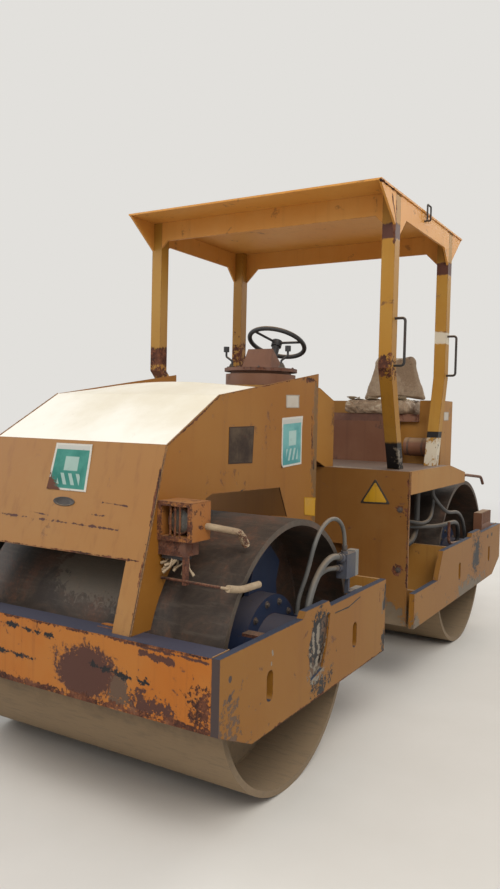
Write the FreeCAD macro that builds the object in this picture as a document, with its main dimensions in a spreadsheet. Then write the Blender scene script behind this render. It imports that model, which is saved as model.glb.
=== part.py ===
import FreeCAD, Part
import math
import operator
import os
from types import SimpleNamespace

import Sketcher

# An articulated tandem road roller: a front frame with its drum and hood, and a rear frame with
# its drum, platform, seat and canopy, joined by a steering hitch that also lets them tilt.
# X runs forward, Y to the machine's left and Z up. The origin is on the ground, midway between
# the two axles. Lengths are in millimetres and angles in degrees.

SIZES = {
    # Drums
    "drum_radius": 550,
    "drum_width": 1478,
    "drum_shell": 25,
    "disc_recess": 260,
    "disc_thickness": 20,
    "boss_radius": 120,
    "boss_length": 45,
    "stub_radius": 55,
    "stub_fit": 0.08,
    "motor_radius": 230,
    "motor_gap": 12,
    "flange_radius": 150,
    "flange_depth": 177,
    "mount_sheet": 20,
    # How the frames follow one another along the machine
    "inner_gap": 229,
    "hitch_reach": 189,
    "hitch_forward": 280,
    "wall_drum_gap": 718,
    # Side plates, their slots and the hump over each axle
    "plate_gap": 73,
    "plate_thickness": 30,
    "plate_rise": 186,
    "plate_drop": 166,
    "nose_chamfer": 216,
    "nose_rise": 97,
    "hump_height": 26,
    "hump_outer": 97,
    "hump_inner": 115,
    "hump_ramp": 22,
    "slot_width": 46,
    "slot_height": 113,
    "slot_drop": 127,
    "slot_outer_reach": 376,
    "slot_inner_reach": 400,
    "toe_ahead": 25,
    "toe_drop": 161,
    "toe_ramp": 96,
    "tear_front": 66,
    "tear_rear": 132,
    "tear_drop": 28,
    "tear_height": 238,
    "tear_depth": 10,
    # End beams, a folded channel each
    "beam_drum_gap": 58,
    "beam_depth": 105,
    "beam_sheet": 14,
    # Cross members and the steering hitch
    "cross_sheet": 24,
    "hitch_drop": 136,
    "hitch_radius": 72,
    "hitch_half": 62,
    "pin_radius": 30,
    "pin_fit": 0.08,
    "pin_end": 12,
    "lug_sheet": 26,
    "lug_gap": 4,
    "lug_margin": 12,
    "shaft_radius": 55,
    "housing_radius": 92,
    "housing_length": 90,
    "hitch_face_gap": 6,
    # Steering cylinder
    "arm_gap": 31,
    "arm_half": 28,
    "arm_sheet": 24,
    "eye_side": 230,
    "eye_radius": 32,
    "eye_height": 44,
    "eye_pin": 12,
    "bracket_reach": 216,
    "barrel_side": 280,
    "barrel_radius": 36,
    "barrel_length": 440,
    "barrel_neck": 40,
    "rod_radius": 18,
    "rod_length": 430,
    "barrel_ear": 16,
    "barrel_gap": 8,
    "port_margin": 24,
    # Hood on the front frame
    "hood_half": 450,
    "hood_sheet": 6,
    "foot_gap": 32,
    "front_setback": 225,
    "front_height": 669,
    "bevel_ahead": 142,
    "bevel_height": 864,
    "rear_height": 1001,
    "crest_behind": 148,
    "crest_height": 932,
    "hood_arch": 32,
    "hood_drum_gap": 48,
    "hood_leg": 86,
    "opening_height": 249,
    "notch_gap": 125,
    "window_ahead": 228,
    "window_behind": 391,
    "window_height": 463,
    "window_corner": 46,
    "window_dip": 14,
    "window_slant": 80,
    "window_foot": 60,
    # Lamps and their guards
    "lamp_setback": 171,
    "lamp_depth": 125,
    "lamp_rise": 326,
    "lamp_radius": 52,
    "lamp_wall": 8,
    "lamp_room_wide": 7,
    "lamp_room_high": 3,
    "lamp_bar": 8,
    "bracket_height": 55,
    "bracket_behind": 30,
    "bracket_short": 10,
    # Rear body
    "wall_sheet": 12,
    "body_gap": 22,
    "deck_rise": 132,
    "deck_sheet": 12,
    "deck_rear_reach": 154,
    "deck_drop_reach": 504,
    "deck_drop": 60,
    "band_height": 127,
    "recess_half": 400,
    "recess_rise": 64,
    "cross_back": 50,
    "bulkhead_gap": 53,
    "upright": 70,
    "upright_inset": 362,
    # Engine behind the front wall and its cover behind the seat
    "engine_wall_gap": 120,
    "engine_bulkhead_gap": 41,
    "engine_half": 330,
    "engine_drop": 26,
    "engine_headroom": 110,
    "engine_rail": 60,
    "cover_reach": 78,
    "cover_length": 580,
    "cover_half": 430,
    "cover_height": 480,
    "cover_bevel": 70,
    "cover_drum_gap": 60,
    "cover_leg_width": 160,
    "cover_leg_rise": 90,
    # Seat, its base and the tank beside it
    "base_reach": 458,
    "base_rear_gap": 50,
    "base_right_inset": 230,
    "base_height": 268,
    "rail_height": 50,
    "seat_rear_gap": 10,
    "seat_tank_gap": 46,
    "cushion_width": 480,
    "cushion_depth": 420,
    "cushion_height": 90,
    "back_height": 330,
    "back_top_width": 300,
    "back_thickness": 70,
    "seat_gap": 4,
    "tank_inset": 90,
    "tank_width": 144,
    "step_width": 126,
    "tank_setback": 30,
    "tank_length": 240,
    "tank_rise": 140,
    "cleaner_radius": 58,
    "cleaner_inset": 60,
    "cleaner_length": 150,
    "cleaner_rise": 108,
    # Canopy
    "post": 70,
    "post_inset": 20,
    "front_post_reach": 293,
    "rear_post_reach": 557,
    "kink_height": 544,
    "front_foot_back": 140,
    "front_foot_inset": 115,
    "rear_foot_reach": 586,
    "rear_foot_inset": 55,
    "roof_height": 1438,
    "roof_sheet": 10,
    "beam_drop": 120,
    "roof_front_reach": 220,
    "roof_rear_reach": 192,
    "roof_edge": 6,
    "roof_bar": 12,
    "gusset_drop": 173,
    "side_brace": 90,
    "front_brace": 40,
    # Handles on the posts and the hook on the roof's edge
    "grip_radius": 7,
    "grip_reach": 55,
    "grip_bend": 16,
    "grip_rise": 14,
    "grip_length": 240,
    "hook_radius": 5,
    "hook_bend": 7,
    # Cowl, console and steering wheel
    "cowl_half": 300,
    "cowl_sheet": 6,
    "cowl_back": 65,
    "cowl_height": 451,
    "cowl_rear_drop": 73,
    "cowl_front_drop": 263,
    "cowl_slope": 60,
    "nose_radius": 195,
    "ring_height": 62,
    "ring_gap": 15,
    "ring_step": 25,
    "plate_margin": 8,
    "console_plate": 18,
    "console_height": 118,
    "console_lean": 50,
    "console_slope": 120,
    "console_side": 35,
    "console_half": 95,
    "console_top_half": 80,
    "lever_radius": 6,
    "lever_knob": 16,
    "lever_knob_height": 30,
    "lever_knob_drop": 4,
    "lever_ahead": 40,
    "lever_right": 165,
    "lever_left": 150,
    "lever_splay": 40,
    "lever_right_height": 100,
    "lever_left_height": 96,
    "lever_bend": 14,
    "wheel_radius": 175,
    "wheel_rim": 13,
    "wheel_back": 180,
    "wheel_rise": 162,
    "wheel_lean": 25,
    "hub_radius": 30,
    "hub_length": 36,
    "hub_drop": 24,
    "spoke_radius": 7,
    "column_radius": 22,
    "column_length": 125,
    # Pipes and fittings beside the front drum
    "elbow_radius": 12.5,
    "elbow_bend": 24,
    "wiper_radius": 5,
    "sleeve_radius": 13,
    "sleeve_inset": 52,
    "strap_width": 17,
    "strap_sheet": 20,
    "ledge_sheet": 12,
    "ledge_depth": 112,
    "ledge_length": 50,
    "junction_ahead": 25,
    "junction_inset": 7,
    "junction_below": 50,
    "junction_width": 100,
    "junction_height": 110,
    "junction_depth": 50,
    "junction_post": 30,
    "feed_radius": 14,
    "drain_radius": 9,
    "return_radius": 11,
    "fitting_wall": 6,
    # Lines in the engine bay
    "valve_length": 200,
    "valve_width": 140,
    "valve_height": 100,
    "bay_pipe_radius": 9,
    "rail_pipe_radius": 10,
    "pipe_gap": 0.3,
    "filter_length": 260,
    "filter_height": 155,
    "filter_depth": 36,
    "filter_fin": 12,
    # Towing lugs under the rear beam
    "tow_bore": 17,
    "tow_drop": 52,
    "tow_ear": 20,
    "tow_gap": 44,
    "tow_half": 34,
    "tow_setback": 8,
}

doc = FreeCAD.newDocument("road_roller")


# Sizes that carry their own expression

class Size:
    """A size: its value, and the expression of sheet cells that gives it."""

    def __init__(self, value, text):
        self.value = float(value)
        self.text = text

    def __add__(self, other):
        return joined(self, "+", other, operator.add)

    def __radd__(self, other):
        return joined(other, "+", self, operator.add)

    def __sub__(self, other):
        return joined(self, "-", other, operator.sub)

    def __rsub__(self, other):
        return joined(other, "-", self, operator.sub)

    def __mul__(self, other):
        return joined(self, "*", other, operator.mul)

    def __rmul__(self, other):
        return joined(other, "*", self, operator.mul)

    def __truediv__(self, other):
        return joined(self, "/", other, operator.truediv)

    def __neg__(self):
        return Size(-self.value, f"(0 - {self.text})")


def as_size(number):
    return number if isinstance(number, Size) else Size(number, repr(float(number)))


def joined(left, sign, right, work):
    left, right = as_size(left), as_size(right)
    return Size(work(left.value, right.value), f"({left.text} {sign} {right.text})")


def make_sheet():
    """Write every size into the sheet, with its name as the cell's alias."""
    sheet = doc.addObject("Spreadsheet::Sheet", "Sheet")
    for row, (name, value) in enumerate(SIZES.items(), start=1):
        sheet.set(f"A{row}", name)
        sheet.set(f"B{row}", str(value))
        sheet.setAlias(f"B{row}", name)
    doc.recompute()
    return SimpleNamespace(**{name: Size(sheet.get(name), "Sheet." + name) for name in SIZES})


s = make_sheet()


# Document objects bound to the sheet

def bind(thing, path, size):
    thing.setExpression(path, as_size(size).text)


def place(thing, x, y, z):
    for path, size in (("x", x), ("y", y), ("z", z)):
        bind(thing, "Placement.Base." + path, size)


def box(name, x, y, z):
    """A box between two bounds on each axis."""
    thing = doc.addObject("Part::Box", name)
    for path, (low, high) in (("Length", x), ("Width", y), ("Height", z)):
        bind(thing, path, high - low)
    place(thing, x[0], y[0], z[0])
    return thing


TURNS = {
    "x": FreeCAD.Rotation(FreeCAD.Vector(0, 1, 0), 90),
    "y": FreeCAD.Rotation(FreeCAD.Vector(1, 0, 0), -90),
    "z": FreeCAD.Rotation(),
}


def cylinder(name, axis, at, span, radius):
    """A round bar along an axis; at gives the two other coordinates in their own order."""
    thing = doc.addObject("Part::Cylinder", name)
    bind(thing, "Radius", radius)
    bind(thing, "Height", span[1] - span[0])
    thing.Placement = FreeCAD.Placement(FreeCAD.Vector(), TURNS[axis])
    first, second = at
    start = span[0]
    place(thing, *{"x": (start, first, second), "y": (first, start, second), "z": (first, second, start)}[axis])
    return thing


PLANES = {"xy": "XY_Plane", "xz": "XZ_Plane", "yz": "YZ_Plane"}


def prism(name, plane, outline, span):
    """A polygon on a plane, padded across the span on the third axis."""
    body = doc.addObject("PartDesign::Body", name)
    sketch = body.newObject("Sketcher::SketchObject", name + "_outline")
    origin = next(f for f in body.Origin.OriginFeatures if f.Role == PLANES[plane])
    sketch.AttachmentSupport = [(origin, "")]
    sketch.MapMode = "FlatFace"
    bind(sketch, "AttachmentOffset.Base.z", -span[1] if plane == "xz" else span[0])
    corners = [(as_size(u), as_size(v)) for u, v in outline]
    count = len(corners)
    points = [FreeCAD.Vector(u.value, v.value, 0) for u, v in corners]
    sketch.addGeometry([Part.LineSegment(points[i], points[(i + 1) % count]) for i in range(count)], False)
    sketch.addConstraint([Sketcher.Constraint("Coincident", i, 2, (i + 1) % count, 1) for i in range(count)])
    for i, corner in enumerate(corners):
        for kind, size in zip(("DistanceX", "DistanceY"), corner):
            index = sketch.addConstraint(Sketcher.Constraint(kind, -1, 1, i, 1, size.value))
            sketch.setExpression(f"Constraints[{index}]", size.text)
    pad = body.newObject("PartDesign::Pad", name + "_pad")
    pad.Profile = sketch
    bind(pad, "Length", span[1] - span[0])
    return body


def fuse(name, *parts):
    thing = doc.addObject("Part::MultiFuse", name)
    thing.Shapes = list(parts)
    return thing


def group(name, *parts):
    """Like pieces that don't touch, kept together."""
    thing = doc.addObject("Part::Compound", name)
    thing.Links = list(parts)
    return thing


def cut(name, base, *tools):
    thing = doc.addObject("Part::Cut", name)
    thing.Base = base
    thing.Tool = tools[0] if len(tools) == 1 else fuse(name + "_tools", *tools)
    return thing


def common(name, first, second):
    thing = doc.addObject("Part::Common", name)
    thing.Base = first
    thing.Tool = second
    return thing


def mirror(name, source, axis="y"):
    thing = doc.addObject("Part::Mirroring", name)
    thing.Source = source
    thing.Normal = FreeCAD.Vector(*(1.0 if letter == axis else 0.0 for letter in "xyz"))
    return thing


def both_sides(name, left):
    """A piece on the left and its mirror image on the right."""
    return group(name, left, mirror(name + "_right", left))


def feature(name, shape):
    thing = doc.addObject("Part::Feature", name)
    thing.Shape = shape
    return thing


def vector(point):
    return FreeCAD.Vector(*(as_size(size).value for size in point))


def bent_path(points, bend):
    """Straight runs joined by tangent arcs; with no bend given, each arc is as large as its runs allow."""
    edges = []
    start = points[0]
    for before, corner, after in zip(points, points[1:], points[2:]):
        back, ahead = (before - corner), (after - corner)
        shorter = min(back.Length, ahead.Length)
        back.normalize()
        ahead.normalize()
        half_turn = (math.pi - back.getAngle(ahead)) / 2
        radius = bend if bend else 0.45 * shorter / math.tan(half_turn)
        reach = radius * math.tan(half_turn)
        inward = (back + ahead).normalize()
        middle = corner + inward * (radius / math.cos(half_turn) - radius)
        first, last = corner + back * reach, corner + ahead * reach
        edges.append(Part.LineSegment(start, first).toShape())
        edges.append(Part.Arc(first, middle, last).toShape())
        start = last
    edges.append(Part.LineSegment(start, points[-1]).toShape())
    return Part.Wire(edges)


def bend_radii(points):
    """How tightly a hose bends at each inner point of its route."""
    path = [vector(point) for point in points]
    radii = []
    for before, corner, after in zip(path, path[1:], path[2:]):
        back, ahead = before - corner, after - corner
        radii.append(0.45 * min(back.Length, ahead.Length) / math.tan((math.pi - back.getAngle(ahead)) / 2))
    return radii


def tube(name, points, radius, bend=None):
    """A round bar or hose along a bent path."""
    path = [vector(point) for point in points]
    profile = Part.Wire(Part.Circle(path[0], path[1] - path[0], as_size(radius).value).toShape())
    return feature(name, bent_path(path, as_size(bend).value if bend else None).makePipeShell([profile], True, False))


def square_post(name, sections):
    """A square post through sections of (front x, outer y, z), as wide as the canopy's posts."""
    wires = []
    for x, y, z in sections:
        front, outer, height, width = x.value, y.value, z.value, s.post.value
        corners = [(front, outer), (front - width, outer), (front - width, outer - width), (front, outer - width)]
        wires.append(Part.makePolygon([FreeCAD.Vector(u, v, height) for u, v in corners + corners[:1]]))
    return feature(name, Part.makeLoft(wires, True, True))


# Places worked out from the sizes

# The drums stand as far apart as the pieces between them need, with the origin midway.
axle = (s.inner_gap + s.hitch_reach + s.hitch_forward + s.wall_drum_gap) / 2 + s.drum_radius
plate_inner_y = s.drum_width / 2 + s.plate_gap
plate_outer = plate_inner_y + s.plate_thickness
plate_top = s.drum_radius + s.plate_rise
plate_bottom = s.drum_radius - s.plate_drop
beam_bottom = plate_bottom + s.nose_rise
frame_end = axle + s.drum_radius + s.beam_drum_gap + s.beam_depth
frame_start = axle - s.drum_radius - s.inner_gap
slot_top = plate_top - s.slot_drop
slot_bottom = slot_top - s.slot_height
disc_outer = s.drum_width / 2 - s.disc_recess
boss_end = disc_outer + s.boss_length
motor_start = boss_end + s.motor_gap
motor_end = plate_inner_y - s.flange_depth
pivot_x = frame_start - s.hitch_reach
hitch_z = plate_top - s.hitch_drop
hinge_low = hitch_z - s.hitch_half
hinge_high = hitch_z + s.hitch_half
eye_x = frame_start - s.arm_gap - s.arm_half
wall_x = pivot_x - s.hitch_forward
wall_back = wall_x - s.wall_sheet
cross_face = wall_x - s.cross_back
cross_rear = cross_face - s.cross_sheet
barrel_pin_x = cross_rear - s.bracket_reach
toe_end = wall_x + s.toe_ahead
toe_top = plate_top - s.toe_drop
hood_foot_x = frame_end - s.foot_gap
hood_front_x = frame_end - s.front_setback
hood_front_z = plate_top + s.front_height
hood_bevel_x = axle + s.bevel_ahead
hood_bevel_z = plate_top + s.bevel_height
hood_rear_z = plate_top + s.rear_height
lamp_front = frame_end - s.lamp_setback
lamp_back = lamp_front - s.lamp_depth
lamp_low = plate_top + s.lamp_rise
lamp_width = (s.lamp_radius + s.lamp_room_wide + s.lamp_wall * 2) * 2
lamp_height = (s.lamp_radius + s.lamp_room_high + s.lamp_wall * 2) * 2
bracket_low = lamp_low - s.bracket_height
body_half = plate_inner_y - s.body_gap
deck_z = s.drum_radius * 2 + s.deck_rise
deck_under = deck_z - s.deck_sheet
deck_rear = s.deck_rear_reach - axle
deck_drop_from = s.deck_drop_reach - axle
bulkhead_x = s.drum_radius + s.bulkhead_gap + s.cross_sheet - axle
engine_front = wall_x - s.engine_wall_gap
engine_low = plate_top - s.engine_drop
cover_low = s.drum_radius * 2 + s.cover_drum_gap
cover_front = s.cover_reach - axle
cover_rear = cover_front - s.cover_length
base_front = s.base_reach - axle
base_rear = cover_front + s.base_rear_gap
base_top = deck_z + s.base_height
tank_outer = body_half - s.tank_inset
tank_inner = tank_outer - s.tank_width
tank_front = base_front - s.tank_setback
base_left = tank_inner - s.step_width
base_right = s.base_right_inset - body_half
rail_top = base_top + s.rail_height
post_outer = body_half - s.post_inset
post_inner = post_outer - s.post
front_post_x = wall_x + s.front_post_reach
rear_post_x = s.rear_post_reach - axle
kink_z = deck_z + s.kink_height
roof_top = deck_z + s.roof_height
roof_under = roof_top - s.roof_sheet
beam_low = roof_top - s.beam_drop
cowl_rear = wall_x - s.cowl_back
ring_low = deck_z + s.cowl_height
ring_top = ring_low + s.ring_height
console_low = ring_top + s.ring_gap + s.console_plate
upright_y = plate_inner_y - s.upright_inset
nodes = {}


def keep(thing, label):
    thing.Label = label
    nodes[label] = thing
    return thing


# Drums

def drum(name, x):
    """A smooth drum: its shell, a disc set back in each end, and a bored boss on each disc."""
    half = s.drum_width / 2
    shell = cut(
        name + "_shell",
        cylinder(name + "_skin", "y", (x, s.drum_radius), (-half, half), s.drum_radius),
        cylinder(name + "_bore", "y", (x, s.drum_radius), (-half - 1, half + 1), s.drum_radius - s.drum_shell),
    )
    ends = []
    for side, sign in (("left", 1), ("right", -1)):
        inner, outer, tip = [sign * y for y in (disc_outer - s.disc_thickness, disc_outer, boss_end)]
        if sign > 0:
            disc_span, boss_span, bore_span = (inner, outer), (outer, tip), (inner - 1, tip + 1)
        else:
            disc_span, boss_span, bore_span = (outer, inner), (tip, outer), (tip - 1, inner + 1)
        solid = fuse(
            f"{name}_{side}_end",
            cylinder(f"{name}_{side}_disc", "y", (x, s.drum_radius), disc_span, s.drum_radius - s.drum_shell),
            cylinder(f"{name}_{side}_boss", "y", (x, s.drum_radius), boss_span, s.boss_radius),
        )
        bore = cylinder(f"{name}_{side}_bearing", "y", (x, s.drum_radius), bore_span, s.stub_radius + s.stub_fit)
        ends.append(cut(f"{name}_{side}", solid, bore))
    keep(fuse(name + "_body", shell, *ends), name)


# The plate behind each motor, by its corners ahead of the axle and above it.
MOUNT_PLATE = (
    (-205, -150), (205, -150), (205, 60), (80, 160), (19, 337), (-56, 392), (-120, 412), (-208, 333), (-180, 240),
    (-205, 60),
)
# Each hose port on the motor's flange: how far behind the axle, in from the side plate and above the axle it ends.
PORTS = {"feed": (53, 37, 150), "drain": (60, 87, 150), "return": (114, 70, 140)}
PORT_FOOT = 60


def drum_mounts(name, way):
    """The motor on its plate, its stub axle in the drum's boss and its ported flange on the side plate."""
    x = way * axle
    at = (x, s.drum_radius)
    corners = [(way * (axle + ahead), s.drum_radius + up) for ahead, up in MOUNT_PLATE]
    ports = []
    for use, hose in (("feed", s.feed_radius), ("drain", s.drain_radius), ("return", s.return_radius)):
        behind, inward, up = PORTS[use]
        ports.append(cylinder(
            f"{name}_{use}_port", "z", (way * (axle - behind), plate_inner_y - inward),
            (s.drum_radius + PORT_FOOT, s.drum_radius + up), hose + s.fitting_wall,
        ))
    left = fuse(
        name + "_left",
        cylinder(name + "_stub", "y", at, (disc_outer - s.disc_thickness, motor_start), s.stub_radius),
        prism(name + "_plate", "xz", corners, (motor_start, motor_start + s.mount_sheet)),
        cylinder(name + "_motor", "y", at, (motor_start, motor_end), s.motor_radius),
        cylinder(name + "_flange", "y", at, (motor_end, plate_inner_y), s.flange_radius),
        *ports,
    )
    keep(both_sides(name + "_pair", left), name)


# Frames

def slot(name, x):
    """An upright oblong hole through a side plate."""
    radius = s.slot_width / 2
    span = (plate_inner_y - 1, plate_outer + 1)
    return fuse(
        name,
        box(name + "_middle", (x - radius, x + radius), span, (slot_bottom + radius, slot_top - radius)),
        cylinder(name + "_foot", "y", (x, slot_bottom + radius), span, radius),
        cylinder(name + "_head", "y", (x, slot_top - radius), span, radius),
    )


def side_plates(name, way, inner_end):
    """A pair of side plates; way is 1 on the front frame and -1 on the rear one."""
    def along(distance):
        return way * (axle + distance)

    reach = frame_end - axle
    hump_top = plate_top + s.hump_height
    outline = [
        (along(reach - s.nose_chamfer), plate_bottom),
        (along(reach), beam_bottom),
        (along(reach), plate_top),
        (along(s.hump_outer + s.hump_ramp), plate_top),
        (along(s.hump_outer), hump_top),
        (along(-s.hump_inner), hump_top),
        (along(-s.hump_inner - s.hump_ramp), plate_top),
    ] + inner_end
    plate = prism(name + "_plate", "xz", outline, (plate_inner_y, plate_outer))
    slots = [slot(f"{name}_slot_{n}", along(at)) for n, at in enumerate((s.slot_outer_reach, -s.slot_inner_reach))]
    return cut(name + "_slotted", plate, *slots)


def front_side_plates():
    inner_end = [(frame_start, plate_top), (frame_start, plate_bottom)]
    plate = side_plates("front_plate", 1, inner_end)
    low, high = plate_top - s.tear_drop - s.tear_height, plate_top - s.tear_drop
    ragged = [
        (axle - s.tear_rear, high),
        (axle + s.tear_front * 0.3, high - s.tear_height * 0.05),
        (axle + s.tear_front, low + s.tear_height * 0.55),
        (axle + s.tear_front * 0.6, low),
        (axle - s.tear_rear * 0.5, low + s.tear_height * 0.1),
        (axle - s.tear_rear * 0.8, low + s.tear_height * 0.46),
    ]
    tear = prism("plate_tear", "xz", ragged, (plate_outer - s.tear_depth, plate_outer + 1))
    left = cut("front_plate_torn", plate, tear)
    keep(group("front_plate_pair", left, mirror("front_plate_right", plate)), "front_side_plates")


def rear_side_plates():
    inner_end = [
        (-frame_start, plate_top),
        (s.toe_ramp - frame_start, toe_top),
        (toe_end, toe_top),
        (toe_end, plate_bottom),
    ]
    keep(both_sides("rear_plate_pair", side_plates("rear_plate", -1, inner_end)), "rear_side_plates")


def end_beam(label, way):
    """The folded channel across the outer end of a frame, open towards the drum."""
    face, back = way * frame_end, way * (frame_end - s.beam_depth)
    inside = way * (frame_end - s.beam_sheet)
    low, high = beam_bottom, plate_top
    outline = [
        (face, low), (face, high), (back, high), (back, high - s.beam_sheet),
        (inside, high - s.beam_sheet), (inside, low + s.beam_sheet), (back, low + s.beam_sheet), (back, low),
    ]
    keep(prism(label + "_channel", "xz", outline, (-plate_inner_y, plate_inner_y)), label)


def front_cross_member():
    """The plate across the inner end of the front frame, with the bearing housing for the hitch."""
    face, tip = frame_start, frame_start + s.housing_length
    at = (0, hitch_z)
    start = face - s.hitch_face_gap * 2
    plate = box(
        "front_cross_plate", (face, face + s.cross_sheet), (-plate_inner_y, plate_inner_y), (plate_bottom, plate_top)
    )
    housing = cylinder("hitch_housing", "x", at, (start, tip), s.housing_radius)
    bore = cylinder("hitch_bore", "x", at, (start - 1, tip + 1), s.shaft_radius + s.pin_fit)
    keep(cut("front_cross", fuse("front_cross_solid", plate, housing), bore), "front_cross_member")


def hitch_lugs():
    """The two lugs on the rear frame that hold the steering pin, and the pin."""
    x, reach = pivot_x, s.hitch_radius + s.lug_margin
    lowest, highest = hinge_low - s.lug_gap - s.lug_sheet, hinge_high + s.lug_gap + s.lug_sheet
    lugs = []
    for side, bounds in (("lower", (lowest, hinge_low - s.lug_gap)), ("upper", (hinge_high + s.lug_gap, highest))):
        lugs.append(box(f"{side}_lug_plate", (cross_face, x), (-reach, reach), bounds))
        lugs.append(cylinder(f"{side}_lug_end", "z", (x, 0), bounds, reach))
    pin = cylinder("steering_pin", "z", (x, 0), (lowest - s.pin_end, highest + s.pin_end), s.pin_radius)
    keep(fuse("hitch_lug_solid", *lugs, pin), "hitch_lugs")


def barrel_bracket():
    """The two ears behind the rear cross member that hold the barrel's pin."""
    x, y, half = barrel_pin_x, -s.barrel_side, s.eye_radius
    gap = s.barrel_radius + s.barrel_gap
    outer = gap + s.barrel_ear
    ears = []
    for side, bounds in (("low", (hitch_z - outer, hitch_z - gap)), ("high", (hitch_z + gap, hitch_z + outer))):
        ears.append(box(f"{side}_ear", (x, cross_rear), (y - half, y + half), bounds))
        ears.append(cylinder(f"{side}_ear_end", "z", (x, y), bounds, half))
    pin_span = (hitch_z - outer - s.pin_end / 2, hitch_z + outer + s.pin_end / 2)
    pin = cylinder("barrel_pin", "z", (x, y), pin_span, s.eye_pin)
    keep(fuse("barrel_bracket_solid", *ears, pin), "barrel_bracket")


def hitch():
    """The link between the frames: upright bearing, fore-and-aft shaft and steering arm."""
    x, reach, arm_half = pivot_x, s.hitch_radius, s.arm_half
    arm_top = hitch_z - s.eye_height / 2 - 1
    arm_span = (arm_top - s.arm_sheet, arm_top)
    face = frame_start - s.hitch_face_gap * 3
    solid = fuse(
        "hitch_solid",
        cylinder("hitch_barrel", "z", (x, 0), (hinge_low, hinge_high), reach),
        box(
            "hitch_block", (x, face), (-reach * 0.8, reach * 0.8),
            (hinge_low + s.hitch_face_gap, hinge_high - s.hitch_face_gap),
        ),
        cylinder("hitch_shaft", "x", (0, hitch_z), (face, frame_start + s.housing_length), s.shaft_radius),
        prism(
            "steering_arm", "xy",
            [(x, 0), (eye_x + arm_half, 0), (eye_x + arm_half, -s.eye_side), (eye_x - arm_half, -s.eye_side)],
            arm_span,
        ),
        cylinder("steering_arm_end", "z", (eye_x, -s.eye_side), arm_span, arm_half),
    )
    bore = cylinder("hitch_pin_bore", "z", (x, 0), (hinge_low - 1, hinge_high + 1), s.pin_radius + s.pin_fit)
    keep(cut("hitch_bored", solid, bore), "hitch")


def steering_cylinder():
    """The barrel on the rear frame and its rod, in line from the barrel's pin to the arm's pin."""
    rod_eye = vector((eye_x, -s.eye_side, hitch_z))
    barrel_eye = vector((barrel_pin_x, -s.barrel_side, hitch_z))
    line = (rod_eye - barrel_eye).normalize()
    eye, height, pin = s.eye_radius.value, s.eye_height.value, s.eye_pin.value
    half = FreeCAD.Vector(0, 0, height / 2)
    rod_radius, neck = s.rod_radius.value, s.barrel_neck.value
    length = s.barrel_length.value
    tail = Part.makeCylinder(eye, height, barrel_eye - half)
    pin_hole = Part.makeCylinder(pin + s.pin_fit.value, height, barrel_eye - half)
    barrel = Part.makeCylinder(s.barrel_radius.value, length - neck, barrel_eye + line * neck, line)
    bore = Part.makeCylinder(rod_radius + s.pin_fit.value, length - neck * 1.5, barrel_eye + line * (neck * 1.5), line)
    stalk = Part.makeCylinder(rod_radius, neck * 1.5, barrel_eye, line)
    body = barrel.fuse([stalk, tail]).cut(bore).cut(pin_hole)
    keep(feature("barrel_shape", body.removeSplitter()), "steering_barrel")
    rod = Part.makeCylinder(rod_radius, s.rod_length.value, rod_eye - line * s.rod_length.value, line)
    tip = Part.makeCylinder(eye, height, rod_eye - half)
    pin_head = Part.makeCylinder(pin * 1.6, pin, rod_eye + half)
    keep(feature("rod_shape", rod.fuse([tip, pin_head]).removeSplitter()), "steering_rod")


# Hood

def hood_sides():
    """The two side panels, cut round over the drum, each with its window above the drum."""
    outline = [
        (hood_foot_x, plate_top), (hood_front_x, hood_front_z), (hood_bevel_x, hood_bevel_z),
        (frame_start, hood_rear_z), (frame_start, plate_top),
    ]
    panel = prism("hood_panel", "xz", outline, (s.hood_half - s.hood_sheet, s.hood_half))
    wide = (s.hood_half - s.hood_sheet - 1, s.hood_half + 1)
    arch = cylinder("hood_drum_arch", "y", (axle, s.drum_radius), wide, s.drum_radius + s.hood_drum_gap)
    front, rear, top = axle + s.window_ahead, axle - s.window_behind, plate_top + s.window_height
    foot = s.drum_radius * 2
    window = prism(
        "hood_window", "xz",
        [
            (front, foot), (front, top - s.window_dip), (front - s.window_corner, top), (rear, top - s.window_dip),
            (rear - s.window_slant, foot - s.window_foot), (axle, foot),
        ],
        wide,
    )
    keep(both_sides("hood_panel_pair", cut("hood_panel_cut", panel, arch, window)), "hood_sides")


def hood_front():
    """The leaning front sheet with its wide opening, and the bevel above it."""
    sheet, inner = s.hood_sheet, s.hood_half - s.hood_sheet
    outline = [
        (hood_foot_x, plate_top), (hood_front_x, hood_front_z), (hood_bevel_x, hood_bevel_z),
        (hood_bevel_x, hood_bevel_z - sheet), (hood_front_x - sheet, hood_front_z - sheet),
        (hood_foot_x - sheet, plate_top),
    ]
    bent = prism("hood_front_sheet", "xz", outline, (-inner, inner))
    half = s.hood_half - s.hood_leg
    opening = box(
        "hood_front_opening", (hood_front_x, hood_foot_x + 1), (-half, half),
        (plate_top - 1, plate_top + s.opening_height),
    )
    keep(cut("hood_front_cut", bent, opening), "hood_front")


def arched_section(x, crest, arch):
    """A cross section of the hood's top sheet: straight or arched, and as thick as the sheet."""
    inner, sheet = (s.hood_half - s.hood_sheet).value, s.hood_sheet.value
    edge = crest - arch

    def at(y, z):
        return FreeCAD.Vector(x, y, z)

    return Part.Wire([
        Part.Arc(at(-inner, edge), at(0, crest), at(inner, edge)).toShape(),
        Part.LineSegment(at(inner, edge), at(inner, edge - sheet)).toShape(),
        Part.Arc(at(inner, edge - sheet), at(0, crest - sheet), at(-inner, edge - sheet)).toShape(),
        Part.LineSegment(at(-inner, edge - sheet), at(-inner, edge)).toShape(),
    ])


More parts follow.
